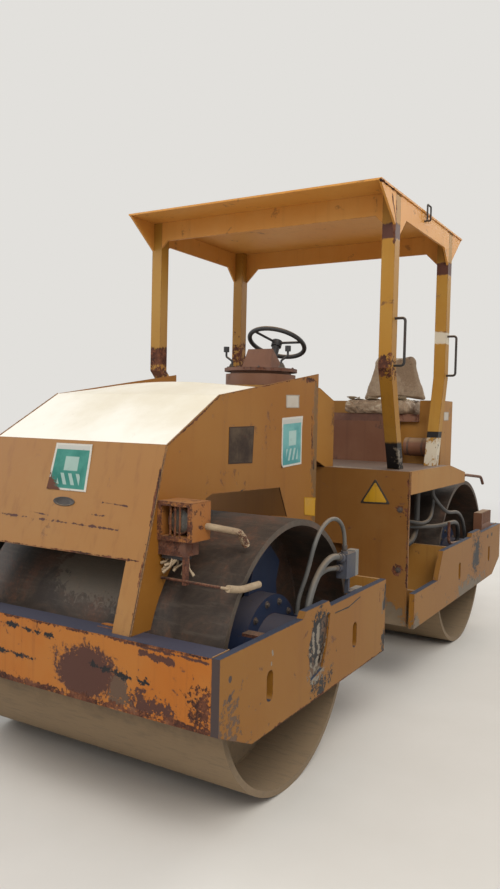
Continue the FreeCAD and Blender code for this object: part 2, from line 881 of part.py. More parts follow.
def hood_top():
    """The gently arched top sheet, cut round behind for the nose of the cowl."""
    front, middle, back = hood_bevel_x.value, (axle - s.crest_behind).value, frame_start.value
    crest, arch = (plate_top + s.crest_height).value, s.hood_arch.value
    slope = Part.makeLoft(
        [arched_section(front, hood_bevel_z.value, 1.0), arched_section(middle, crest, arch)], True, True
    )
    level = Part.makeLoft([arched_section(middle, crest, arch), arched_section(back, crest, arch)], True, True)
    sheet = feature("hood_top_sheet", slope.fuse(level))
    notch = cylinder(
        "hood_notch_tool", "z", (pivot_x, 0), (hood_front_z, hood_rear_z + 50), s.nose_radius + s.notch_gap
    )
    keep(cut("hood_top_cut", sheet, notch), "hood_top")


def lamps():
    """A lamp in an open box with upright bars on each side of the hood."""
    inner, outer = s.hood_half, s.hood_half + lamp_width
    high, wall = lamp_low + lamp_height, s.lamp_wall
    case = cut(
        "lamp_case",
        box("lamp_case_block", (lamp_back, lamp_front), (inner, outer), (lamp_low, high)),
        box(
            "lamp_case_room", (lamp_back + wall, lamp_front + 1), (inner + wall * 2, outer - wall * 2),
            (lamp_low + wall * 2, high - wall * 2),
        ),
    )
    bars = [
        cylinder(
            f"lamp_bar_{n}", "z", (lamp_front - s.lamp_bar, inner + lamp_width * share),
            (lamp_low + wall, high - wall), s.lamp_bar / 2,
        )
        for n, share in enumerate((0.36, 0.5, 0.64))
    ]
    keep(both_sides("lamp_case_pair", fuse("lamp_case_barred", case, *bars)), "lamp_guards")
    middle = (inner + lamp_width / 2, lamp_low + lamp_height / 2)
    lamp = cylinder("lamp_left", "x", middle, (lamp_back + wall, lamp_front - s.lamp_bar * 3), s.lamp_radius)
    keep(both_sides("lamp_pair", lamp), "lamps")
    bracket = box(
        "lamp_bracket_left", (lamp_back + s.bracket_behind, lamp_front - s.bracket_short),
        (inner, outer - s.bracket_behind), (bracket_low, lamp_low),
    )
    keep(both_sides("lamp_bracket_pair", bracket), "lamp_brackets")


def front_pipes():
    """The torn-off elbow at the left lamp, the bent rod below it with its loose sleeve, and a ledge."""
    outer = s.hood_half + lamp_width
    elbow = tube("elbow_pipe", [
        (lamp_back + 25, outer, lamp_low + 50), (lamp_back + 25, outer + 22, lamp_low + 50),
        (lamp_back - 63, outer + 90, lamp_low + 26), (lamp_back - 90, outer + 103, lamp_low - 27),
    ], s.elbow_radius, s.elbow_bend)
    sleeve_y = plate_inner_y - s.sleeve_inset
    turn = (lamp_front + 12, sleeve_y, lamp_low - 136)
    droop = (lamp_front - 85, sleeve_y, lamp_low - 159)
    end = (lamp_front - 212, sleeve_y, lamp_low - 162)
    rod = tube("wiper_rod", [
        (lamp_front - 32, s.hood_half, lamp_low - 145), (lamp_front - 32, s.hood_half + 20, lamp_low - 145), turn, droop,
    ], s.wiper_radius, s.strap_sheet)
    start = (lamp_front, sleeve_y, lamp_low - 139)
    halfway = tuple((a + b) / 2 for a, b in zip(droop, end))
    sleeve = tube("loose_sleeve", [start, droop, end], s.sleeve_radius)
    mouth = tube("sleeve_mouth", [halfway, end], s.sleeve_radius - s.wiper_radius)
    strap = box(
        "wiper_strap", (lamp_front - 15 - s.strap_sheet, lamp_front - 15),
        (outer - s.bracket_behind - 15, outer - s.bracket_behind - 15 + s.strap_width), (lamp_low - 157, bracket_low),
    )
    ledge = box(
        "plate_ledge", (axle + 292, axle + 292 + s.ledge_length), (plate_inner_y - s.ledge_depth, plate_inner_y),
        (plate_top - s.ledge_sheet * 3, plate_top - s.ledge_sheet * 2),
    )
    wiper = fuse("wiper_solid", rod, cut("sleeve_open", sleeve, mouth), strap)
    keep(group("front_pipe_group", elbow, wiper, ledge), "front_pipes")


# Hoses between the junction and the front motor, each point as far behind the axle, in from the side
# plate and above the axle. Each ends straight down on its port.
HOSES = {
    "feed": [
        (353, 32, 349), (298, 32, 364), (233, 33, 358), (168, 34, 330), (115, 35, 288), (79, 36, 240),
        (60, 37, 198), (53, 37, 172), PORTS["feed"],
    ],
    "drain": [
        (393, 27, 375), (390, 26, 428), (365, 25, 483), (313, 24, 522), (243, 24, 536), (173, 25, 521),
        (118, 29, 480), (90, 37, 422), (80, 47, 360), (74, 60, 302), (66, 76, 247), (60, 87, 196), PORTS["drain"],
    ],
    "return": [
        (355, 42, 300), (303, 46, 307), (248, 50, 309), (197, 55, 298), (154, 60, 269), (125, 65, 226),
        (114, 70, 175), PORTS["return"],
    ],
}


def beside_drum(way, points):
    """Points given from a drum's axle and side plate, as places on the machine."""
    return [
        (way * (axle - behind), plate_inner_y - inward, s.drum_radius + up) for behind, inward, up in points
    ]


def fitting(name, points, radius, length):
    """The metal end that a hose comes out of, in line with its first run."""
    start, after = vector(points[0]), vector(points[1])
    line = (after - start).normalize()
    return feature(name, Part.makeCylinder(radius.value, length, start - line * length, line))


def front_hoses():
    """The hose junction on the left side plate and the three hoses from it to the motor."""
    radii = {"feed": s.feed_radius, "drain": s.drain_radius, "return": s.return_radius}
    routes = {use: beside_drum(1, points) for use, points in HOSES.items()}
    front, outer = routes["feed"][0][0] - s.junction_ahead, plate_inner_y - s.junction_inset
    low = routes["return"][0][2] - s.junction_below
    high = low + s.junction_height
    inner = outer - s.junction_depth
    stand = s.junction_post * 0.6
    foot_y = outer - s.junction_inset
    pieces = [
        box("junction_body", (front - s.junction_width, front), (inner, outer), (low, high)),
        box("junction_cap", (front - s.junction_width - 45, front - s.junction_width), (inner + 5, outer - 5),
            (low - 3, high + 5)),
        box("junction_stand", (front - 54, front - 54 + stand), (foot_y - stand, foot_y), (plate_top, low)),
        box("junction_foot", (front - 170, front - 54 + stand), (foot_y - stand, plate_inner_y),
            (plate_top - 8, plate_top + 4)),
    ]
    for use, length in (("feed", 60), ("drain", 30), ("return", 45)):
        pieces.append(fitting(f"junction_{use}", routes[use], radii[use] + s.fitting_wall, length))
    keep(fuse("junction_solid", *pieces), "hose_junction")
    for use, points in routes.items():
        label = use + "_hose"
        keep(tube(label + "_tube", points, radii[use]), label)
        print(label, "bend radii", ", ".join(f"{radius:.0f}" for radius in bend_radii(points)))


# Rear body

def rear_frame_members():
    """The cross member behind the front wall, the bulkhead before the drum, and what ties them."""
    recess_top = plate_top + s.recess_rise
    outline = [
        (-plate_inner_y, plate_bottom), (plate_inner_y, plate_bottom), (plate_inner_y, toe_top),
        (s.recess_half, toe_top), (s.recess_half, recess_top), (-s.recess_half, recess_top),
        (-s.recess_half, toe_top), (-plate_inner_y, toe_top),
    ]
    plate = prism("cross_member_plate", "yz", outline, (cross_rear, cross_face))
    reach = s.barrel_radius + s.port_margin
    height = s.barrel_radius + s.barrel_gap
    port = box(
        "cross_member_port", (cross_rear - 1, cross_face + 1),
        (-s.barrel_side - reach, -s.eye_side + reach - s.barrel_gap), (hitch_z - height, hitch_z + height),
    )
    keep(cut("cross_member_cut", plate, port), "rear_cross_member")
    span = (bulkhead_x - s.cross_sheet, bulkhead_x)
    wall = box("bulkhead_plate", span, (-plate_inner_y, plate_inner_y), (plate_bottom, plate_top))
    upright = box("bulkhead_upright", span, (upright_y, upright_y + s.upright), (plate_top, deck_under))
    keep(fuse("bulkhead_solid", wall, upright, mirror("bulkhead_upright_right", upright)), "rear_bulkhead")
    rail_y = s.engine_half - s.engine_rail
    rail = box(
        "engine_rail_left", (bulkhead_x, cross_rear), (rail_y - s.engine_rail, rail_y),
        (engine_low - s.engine_rail / 2, engine_low),
    )
    keep(both_sides("engine_rail_pair", rail), "engine_rails")


def rear_body():
    """The front wall with its recess for the hitch, the stepped deck and the bands along its sides."""
    wall = box("front_wall_sheet", (wall_back, wall_x), (-body_half, body_half), (plate_bottom, deck_z))
    recess = box(
        "front_wall_recess", (wall_back - 1, wall_x + 1), (-s.recess_half, s.recess_half),
        (plate_bottom - 1, plate_top + s.recess_rise),
    )
    keep(cut("front_wall_cut", wall, recess), "rear_front_wall")
    tie = box(
        "wall_tie_left", (cross_face, wall_back), (s.recess_half, s.recess_half + s.cross_back), (plate_bottom, toe_top)
    )
    keep(both_sides("wall_tie_pair", tie), "wall_ties")
    drop = deck_z - s.deck_drop
    deck = [
        (wall_back, deck_z), (wall_back, deck_under), (deck_drop_from, deck_under),
        (deck_rear, drop - s.deck_sheet), (deck_rear, drop), (deck_drop_from, deck_z),
    ]
    edge = body_half - s.deck_sheet
    keep(prism("deck_sheet_plate", "xz", deck, (-edge, edge)), "deck")
    low = deck_z - s.band_height
    band = prism(
        "deck_band", "xz",
        [(wall_back, deck_z), (wall_back, low), (deck_rear, low), (deck_rear, drop), (deck_drop_from, deck_z)],
        (edge, body_half),
    )
    keep(both_sides("deck_band_pair", band), "deck_bands")


def engine():
    """The engine's mass on its rails, and the cover over the rear drum with its legs on the beam."""
    keep(
        box(
            "engine_mass", (bulkhead_x + s.engine_bulkhead_gap, engine_front), (-s.engine_half, s.engine_half),
            (engine_low, deck_under - s.engine_headroom),
        ),
        "engine_block",
    )
    low, high = cover_low, cover_low + s.cover_height
    outline = [
        (cover_front, low), (cover_rear, low), (cover_rear, high - s.cover_bevel),
        (cover_rear + s.cover_bevel, high), (cover_front, high),
    ]
    keep(prism("engine_cover_block", "xz", outline, (-s.cover_half, s.cover_half)), "engine_cover")
    foot = s.beam_depth - frame_end
    leg = prism(
        "cover_leg", "xz",
        [
            (cover_rear + s.cover_leg_width, low + s.cover_leg_rise), (cover_rear, low + s.cover_leg_rise),
            (foot - s.beam_depth * 0.85, plate_top), (foot, plate_top),
        ],
        (s.cover_half, s.cover_half + s.wall_sheet),
    )
    keep(both_sides("cover_leg_pair", leg), "engine_cover_legs")


def bay_line(name, points, radius, first=None, last=None):
    """A hose held at both ends in the engine bay; first and last replace where it starts and ends."""
    route = beside_drum(-1, points)
    if first:
        route = first + route
    if last:
        route = route + last
    return tube(name, route, radius)


def bay_lines():
    """The valve under the deck, and the hoses between it, the engine and the rear motor."""
    valve_rear, valve_outer = 518 - axle, plate_inner_y - 72
    valve_low = deck_under - s.valve_height
    from_engine, straight = s.engine_half, s.engine_half + 70

    def down(x, y, length=60):
        return [(x, y, valve_low), (x, y, valve_low - length)]

    thin, middle, thick = s.return_radius, s.return_radius + 2, s.feed_radius + 3
    lines = [
        bay_line(
            "bay_line_front",
            [(568, 107, 440), (608, 100, 375), (678, 100, 343), (758, 117, 335), (848, 172, 355), (928, 292, 390)],
            thin, down(valve_rear + 40, valve_outer - 40),
            [(engine_front - 190, straight + 20, engine_low + 240), (engine_front - 190, from_engine, engine_low + 240)],
        ),
        bay_line(
            "bay_line_feed",
            [
                (613, 67, 460), (568, 44, 415), (498, 36, 387), (408, 35, 375), (308, 35, 370), (208, 36, 348),
                (128, 37, 300), (78, 37, 235), (53, 37, 185), PORTS["feed"],
            ],
            thin, down(valve_rear + 120, valve_outer - 20),
        ),
        bay_line(
            "bay_line_return",
            [
                (878, 332, 298), (818, 222, 312), (728, 122, 312), (598, 62, 307), (468, 37, 312), (338, 34, 308),
                (238, 42, 285), (168, 54, 242), (125, 64, 192), (114, 70, 170), PORTS["return"],
            ],
            middle, [
                (engine_front - 240, from_engine, engine_low + 130), (engine_front - 240, straight, engine_low + 130),
            ],
        ),
        bay_line(
            "bay_line_suction",
            [
                (978, 312, 205), (908, 222, 202), (818, 172, 210), (738, 167, 240), (688, 170, 300),
                (676, 172, 380),
            ],
            thick, [
                (engine_front - 140, from_engine, engine_low + 50), (engine_front - 140, straight, engine_low + 50),
            ],
            down(valve_rear + 160, valve_outer - 100, 80)[::-1],
        ),
    ]
    keep(group("bay_line_group", *lines), "bay_lines")
    valve = box(
        "valve_block", (valve_rear, valve_rear + s.valve_length), (valve_outer - s.valve_width, valve_outer),
        (valve_low, deck_under),
    )
    beside = plate_inner_y - s.bay_pipe_radius - s.pipe_gap
    corner = tube("bay_corner_pipe", [
        (538 - axle, beside, s.drum_radius + 330), (538 - axle, beside, plate_top + 16),
        (458 - axle, beside, plate_top - 1), (278 - axle, beside, plate_top - 14),
    ], s.bay_pipe_radius)
    middle_y = body_half - s.deck_sheet / 2
    height = deck_z - 82
    rail = tube("rear_rail_pipe", [
        (deck_rear, middle_y, height), (deck_rear - 46, middle_y, height), (deck_rear - 456, middle_y, height - 37),
        (deck_rear - 516, middle_y, height - 90),
    ], s.rail_pipe_radius)
    keep(group("bay_pipe_group", valve, corner, rail), "bay_pipes")


def oil_filter():
    """The ribbed block on the left side plate behind the rear drum."""
    x0 = -axle - s.drum_radius + 28
    x1 = x0 + s.filter_length
    low = plate_top - s.filter_depth
    high = low + s.filter_height
    block = box("filter_block", (x0, x1), (plate_inner_y - 60, plate_inner_y), (low, high))
    foot = plate_top + s.hump_height + s.filter_fin
    pitch = s.filter_fin * 2
    grooves = [
        box(
            f"filter_groove_{n}", (x0 + pitch * n + s.filter_fin, x0 + pitch * (n + 1)),
            (plate_inner_y - s.filter_fin, plate_inner_y + 1), (foot, high + 1),
        )
        for n in range(10)
    ]
    keep(cut("filter_ribbed", block, *grooves), "oil_filter")


def seat():
    """The seat across the platform: base, rail plate, cushion, back and the tank beside them."""
    base_outline = [
        (base_front, deck_top(base_front)), (base_front, base_top), (base_rear, base_top),
        (base_rear, deck_top(base_rear)),
    ]
    keep(prism("seat_base_box", "xz", base_outline, (base_right, base_left)), "seat_base")
    strip = tank_front + s.seat_gap
    rail = prism(
        "seat_rail_plate", "xy",
        [
            (base_rear, base_right), (base_front, base_right), (base_front, tank_inner), (strip, tank_inner),
            (strip, base_left), (base_rear, base_left),
        ],
        (base_top, rail_top),
    )
    keep(rail, "seat_rail")
    seat_y = tank_inner - s.seat_tank_gap - s.cushion_width / 2
    right, left = seat_y - s.cushion_width / 2, seat_y + s.cushion_width / 2
    back = cover_front + s.seat_rear_gap
    cushion_top = rail_top + s.cushion_height
    keep(box("seat_cushion_pad", (back, back + s.cushion_depth), (right, left), (rail_top, cushion_top)), "seat_cushion")
    top_half = s.back_top_width / 2
    outline = [
        (right, cushion_top), (left, cushion_top),
        (seat_y + top_half, cushion_top + s.back_height), (seat_y - top_half, cushion_top + s.back_height),
    ]
    keep(prism("seat_back_pad", "yz", outline, (back, back + s.back_thickness)), "seat_back")


def deck_top(x):
    """The height of the deck's top where it slopes down towards the rear."""
    return deck_z - s.deck_drop * (deck_drop_from - x) / (deck_drop_from - deck_rear)


def side_tank():
    """The stepped tank at the left of the seat and the air cleaner clamped to its front."""
    rear = tank_front - s.tank_length
    low, high = deck_z - s.deck_drop, base_top + s.tank_rise
    outline = [
        (base_left, low), (tank_outer, low), (tank_outer, high), (tank_inner, high), (tank_inner, base_top),
        (base_left, base_top),
    ]
    block = prism("side_tank_block", "yz", outline, (rear, tank_front))
    below = prism(
        "side_tank_underside", "xz",
        [(rear - 1, low - 1), (tank_front + 1, low - 1), (tank_front + 1, deck_top(tank_front + 1)),
         (rear - 1, deck_top(rear - 1))],
        (base_left - 1, tank_outer + 1),
    )
    keep(cut("side_tank_box", block, below), "side_tank")
    radius = s.cleaner_radius
    start, end = base_left + s.cleaner_inset, base_left + s.cleaner_inset + s.cleaner_length
    x, z = tank_front + radius + s.seat_gap, deck_z + s.cleaner_rise
    can = cylinder("cleaner_can", "y", (x, z), (start, end), radius)
    grip = s.cleaner_length / 4
    clamp = box("cleaner_clamp", (tank_front, x), (start + grip, end - grip), (z - radius / 2, z + radius / 2))
    keep(fuse("cleaner_solid", can, clamp), "air_cleaner")


# Canopy

def canopy():
    posts = []
    for name, x, foot_x, foot_y in (
        ("front", front_post_x, wall_x - s.front_foot_back, body_half - s.front_foot_inset),
        ("rear", rear_post_x + s.post, s.rear_foot_reach - axle + s.post, body_half - s.rear_foot_inset),
    ):
        upper = square_post(name + "_post_upper", [(x, post_outer, kink_z), (x, post_outer, roof_under)])
        lower = square_post(name + "_post_lower", [(foot_x, foot_y, deck_z), (x, post_outer, kink_z)])
        posts.append(fuse(name + "_post", upper, lower))
    for name, post in zip(("front", "rear"), posts):
        keep(both_sides(name + "_post_pair", post), f"canopy_{name}_posts")


def roof():
    """The roof sheet, the braced beams between the posts and the pointed ends over them."""
    front, rear, bar = front_post_x, rear_post_x, s.roof_bar
    x_span = (rear - s.roof_rear_reach, front + s.roof_front_reach)
    half = post_outer + s.roof_edge
    keep(box("roof_plate", x_span, (-half, half), (roof_under, roof_top)), "canopy_roof")
    beams = []
    for name, span, brace in (
        ("front", (front - bar, front), s.front_brace), ("rear", (rear, rear + bar), s.side_brace),
    ):
        beams.append(prism(
            f"roof_{name}_beam", "yz",
            [
                (-post_inner, roof_under), (-post_inner, beam_low - brace), (brace - post_inner, beam_low),
                (post_inner - brace, beam_low), (post_inner, beam_low - brace), (post_inner, roof_under),
            ],
            span,
        ))
    side = []
    for name, x, tip in (("front", front, x_span[1]), ("rear", rear, x_span[0])):
        side.append(prism(
            f"roof_{name}_gusset", "xz", [(x, roof_under), (tip, roof_under), (x, roof_top - s.gusset_drop)],
            (post_outer - bar, post_outer),
        ))
    ahead, behind, brace = front - s.post, rear + s.post, s.side_brace
    side.append(prism(
        "roof_side_beam", "xz",
        [
            (ahead, roof_under), (ahead, beam_low - brace), (ahead - brace, beam_low),
            (behind + brace, beam_low), (behind, beam_low - brace), (behind, roof_under),
        ],
        (post_outer - bar, post_outer),
    ))
    left = group("roof_side_left", *side)
    keep(group("roof_beam_group", *beams, left, mirror("roof_side_right", left)), "roof_beams")


def handle_bars():
    """A grab bar on each left post and a hook on the roof's left edge."""
    low = kink_z + s.grip_rise
    high, out = low + s.grip_length, post_outer + s.grip_reach
    bars = []
    for name, x in (("front", front_post_x - s.post / 2), ("rear", rear_post_x + s.post / 2)):
        points = [(x, post_outer, high), (x, out, high), (x, out, low), (x, post_outer, low)]
        bars.append(tube(f"{name}_grab_bar", points, s.grip_radius, s.grip_bend))
    x, y = wall_x - 160, post_outer + 16
    over, under, end = roof_top + 35, roof_top - 55, roof_top - 40
    bars.append(tube("roof_hook", [
        (x, post_outer, under), (x, y, under), (x, y, over), (x - 60, y, over), (x - 60, y, end),
        (x - 60, post_outer, end),
    ], s.hook_radius, s.hook_bend))
    keep(group("handle_bar_group", *bars), "handle_bars")


# Cowl and controls

def nose_shell(name, radius, half, rear, span):
    """The cowl in plan: a straight rear, sides that close in, and a round nose about the hitch's pin."""
    return fuse(
        name,
        cylinder(name + "_round", "z", (pivot_x, 0), span, radius),
        prism(name + "_plan", "xy", [(rear, -half), (pivot_x, -radius), (pivot_x, radius), (rear, half)], span),
    )


def cowl():
    """The cowl before the operator, with the ring, the plate, the console and the levers on its nose."""
    sheet = s.cowl_sheet
    outer = nose_shell("cowl_outer", s.nose_radius, s.cowl_half, cowl_rear, (deck_z, ring_low))
    inner = nose_shell(
        "cowl_inner", s.nose_radius - sheet, s.cowl_half - sheet, cowl_rear + sheet, (deck_z - 1, ring_low - sheet)
    )
    far = pivot_x + s.nose_radius
    below = prism(
        "cowl_underside", "xz",
        [
            (wall_x, deck_z - 1), (far + 1, deck_z - 1), (far + 1, ring_low - s.cowl_front_drop + s.cowl_slope),
            (wall_x, deck_z + 1),
        ],
        (-s.cowl_half - 1, s.cowl_half + 1),
    )
    above = prism(
        "cowl_rear_slope", "xz",
        [
            (cowl_rear - 1, ring_low - s.cowl_rear_drop), (cowl_rear - 1, ring_low + 1),
            (wall_x + s.cowl_slope, ring_low + 1),
        ],
        (-s.cowl_half - 1, s.cowl_half + 1),
    )
    keep(cut("cowl_shell", outer, inner, below, above), "cowl")
    at = (pivot_x, 0)
    ring = fuse(
        "cowl_ring_solid",
        cylinder("cowl_ring_round", "z", at, (ring_low, ring_top), s.nose_radius),
        cylinder("cowl_ring_step", "z", at, (ring_top, ring_top + s.ring_gap), s.nose_radius - s.ring_step),
    )
    keep(ring, "cowl_ring")
    plate_high = console_low
    plate = cylinder(
        "console_plate_round", "z", at, (plate_high - s.console_plate, plate_high), s.nose_radius + s.plate_margin
    )
    keep(plate, "console_plate")
    levers = []
    for name, side, root, height in (
        ("right", -1, s.lever_right, s.lever_right_height), ("left", 1, s.lever_left, s.lever_left_height),
    ):
        x, y, tip_y, top = pivot_x + s.lever_ahead, side * root, side * (root + s.lever_splay), plate_high + height
        path = [(x, y, plate_high), (x, y, plate_high + height * 0.45), (x, tip_y, plate_high + height * 0.7), (x, tip_y, top)]
        stem = tube(f"{name}_lever_stem", path, s.lever_radius, s.lever_bend)
        knob_low = top - s.lever_knob_drop
        knob = cylinder(f"{name}_lever_knob", "z", (x, tip_y), (knob_low, knob_low + s.lever_knob_height), s.lever_knob)
        levers.append(fuse(f"{name}_lever", stem, knob))
    keep(group("lever_pair", *levers), "control_levers")


def console():
    """The wedge that the steering column comes out of: a leaning front, a sloping top and leaning sides."""
    low, high = console_low, console_low + s.console_height
    ridge = pivot_x - s.console_lean
    rear = ridge - s.console_slope
    profile = prism("console_profile", "xz", [(pivot_x, low), (ridge, high), (rear, low)],
                    (-s.console_side - s.console_half, s.console_half - s.console_side))
    sides = prism(
        "console_sides", "yz",
        [
            (-s.console_side - s.console_half, low), (s.console_half - s.console_side, low),
            (s.console_top_half - s.console_side, high), (-s.console_side - s.console_top_half, high),
        ],
        (rear, pivot_x),
    )
    return keep(common("console_wedge", profile, sides), "console")


def steering_wheel(wedge):
    """The rim, three spokes and hub on a column that leans back and stands on the wedge's slope."""
    ring = (s.wheel_radius - s.wheel_rim).value
    drop, length = s.hub_drop.value, s.column_length.value
    rim = Part.makeTorus(ring, s.wheel_rim.value)
    hub = Part.makeCylinder(s.hub_radius.value, s.hub_length.value, FreeCAD.Vector(0, 0, -drop))
    spokes = []
    for angle in (90, 210, 330):
        ray = FreeCAD.Vector(math.cos(math.radians(angle)), math.sin(math.radians(angle)), 0)
        spokes.append(Part.makeCylinder(s.spoke_radius.value, ring, FreeCAD.Vector(0, 0, 0), ray))
    wheel = feature("steering_wheel_shape", rim.fuse([hub] + spokes))
    lean = FreeCAD.Rotation(FreeCAD.Vector(0, 1, 0), -s.wheel_lean.value)
    centre = vector((pivot_x - s.wheel_back, 0, console_low + s.wheel_rise))
    wheel.Placement = FreeCAD.Placement(centre, lean)
    keep(wheel, "steering_wheel")
    bar = feature("steering_column_bar", Part.makeCylinder(s.column_radius.value, length))
    bar.Placement = wheel.Placement.multiply(FreeCAD.Placement(FreeCAD.Vector(0, 0, -drop - length), FreeCAD.Rotation()))
    keep(cut("steering_column_cut", bar, wedge), "steering_column")


def tow_lugs():
    """Two ears under the rear beam with a bore across them for a towing pin."""
    x, z = s.tow_half + s.tow_setback - frame_end, beam_bottom - s.tow_drop
    ears = []
    for name, y0 in (("left", s.tow_gap / 2), ("right", -s.tow_gap / 2 - s.tow_ear)):
        span = (y0, y0 + s.tow_ear)
        ear = fuse(
            f"tow_{name}_solid",
            box(f"tow_{name}_plate", (x - s.tow_half, x + s.tow_half), span, (z, beam_bottom)),
            cylinder(f"tow_{name}_round", "y", (x, z), span, s.tow_half),
        )
        hole = cylinder(f"tow_{name}_bore", "y", (x, z), (y0 - 1, y0 + s.tow_ear + 1), s.tow_bore)
        ears.append(cut(f"tow_{name}_ear", ear, hole))
    keep(group("tow_ears", *ears), "tow_lugs")


def write_parts():
    """Recompute, check every object and write each piece to its own file."""
    doc.recompute()
    for thing in doc.Objects:
        if "Invalid" in thing.State or "Error" in thing.State:
            raise RuntimeError(f"{thing.Label} failed: {thing.State}")
    os.makedirs("parts", exist_ok=True)
    for label, thing in nodes.items():
        if thing.Shape.isNull() or not thing.Shape.isValid():
            raise RuntimeError(f"{label} has no valid shape")
        thing.Shape.exportStep(f"parts/{label}.step")


for end, way in (("front", 1), ("rear", -1)):
    drum(end + "_drum", way * axle)
    drum_mounts(end + "_drum_mounts", way)
    end_beam(end + "_beam", way)
front_side_plates()
rear_side_plates()
front_cross_member()
hitch_lugs()
hitch()
barrel_bracket()
steering_cylinder()
hood_sides()
hood_front()
hood_top()
lamps()
front_pipes()
front_hoses()
rear_frame_members()
rear_body()
engine()
bay_lines()
oil_filter()
seat()
side_tank()
canopy()
roof()
handle_bars()
cowl()
steering_wheel(console())
tow_lugs()
write_parts()
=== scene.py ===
import math
import random

import bmesh
import bpy
from mathutils import Matrix, Vector, noise


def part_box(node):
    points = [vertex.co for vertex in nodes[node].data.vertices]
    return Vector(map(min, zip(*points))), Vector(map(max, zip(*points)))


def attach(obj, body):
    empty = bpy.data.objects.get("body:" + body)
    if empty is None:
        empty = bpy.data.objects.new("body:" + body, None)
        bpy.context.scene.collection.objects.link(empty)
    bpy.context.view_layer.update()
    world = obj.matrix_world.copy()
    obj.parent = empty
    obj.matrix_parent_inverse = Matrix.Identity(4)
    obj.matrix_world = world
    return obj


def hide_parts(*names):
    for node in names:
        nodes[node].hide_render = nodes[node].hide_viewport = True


# An articulated road roller, seen from its front left. X runs forward, Y to the machine's left, Z up.

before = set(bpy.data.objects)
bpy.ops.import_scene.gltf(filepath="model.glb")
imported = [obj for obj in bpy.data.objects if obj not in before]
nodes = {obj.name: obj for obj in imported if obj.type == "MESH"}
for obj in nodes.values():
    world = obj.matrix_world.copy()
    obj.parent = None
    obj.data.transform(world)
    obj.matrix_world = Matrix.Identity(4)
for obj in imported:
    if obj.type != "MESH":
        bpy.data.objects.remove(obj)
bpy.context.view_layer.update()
scene = bpy.context.scene

# Places that come back, in metres: half the width over the side plates, the hood's side, the beam's far face,
# the drums' axles, and the left lamp's middle.
SIDE, HOOD, END = 0.842, 0.45, 1.971
AXLE_X, AXLE_Z = 1.258, 0.55
LAMP_Y, LAMP_Z = 0.525, 1.133


# Camera, floor and light

def set_camera():
    """The viewing place found from the photograph, with its focal length in pixels and its height of 889."""
    place = Vector((3.999, 2.135, 1.523))
    yaw, pitch, roll = (math.radians(angle) for angle in (210.607, -2.259, 1.332))
    focal, picture_height, sensor = 761.429, 889, 36.0
    ahead = Vector((math.cos(yaw) * math.cos(pitch), math.sin(yaw) * math.cos(pitch), math.sin(pitch)))
    right = ahead.cross(Vector((0, 0, 1))).normalized()
    up = right.cross(ahead)
    side = right * math.cos(roll) + up * math.sin(roll)
    top = up * math.cos(roll) - right * math.sin(roll)
    camera = bpy.data.cameras.new("camera")
    camera.sensor_fit = "VERTICAL"
    camera.sensor_height = sensor
    camera.lens = focal * sensor / picture_height
    holder = bpy.data.objects.new("camera", camera)
    turn = Matrix((side, top, -ahead)).transposed()
    holder.matrix_world = Matrix.Translation(place) @ turn.to_4x4()
    scene.collection.objects.link(holder)
    scene.camera = holder


def rgb(red, green, blue):
    """A colour given as it looks on screen, 0 to 255, as the shaders take it."""
    def linear(part):
        part /= 255
        return part / 12.92 if part <= 0.04045 else ((part + 0.055) / 1.055) ** 2.4
    return (linear(red), linear(green), linear(blue), 1.0)


def new_object(name, mesh):
    thing = bpy.data.objects.new(name, mesh)
    scene.collection.objects.link(thing)
    return thing


# Shader graphs

GROUPS, materials = {}, {}
DUST = rgb(158, 134, 104)
PRIMER = rgb(78, 46, 36)
MARKS = {
    "shade": rgb(112, 82, 48), "primer": PRIMER, "brown": rgb(92, 70, 54), "pale": rgb(196, 184, 162),
    "grey": rgb(104, 92, 76), "steel": rgb(66, 54, 52), "black": rgb(28, 26, 27), "debris": rgb(126, 116, 102),
}


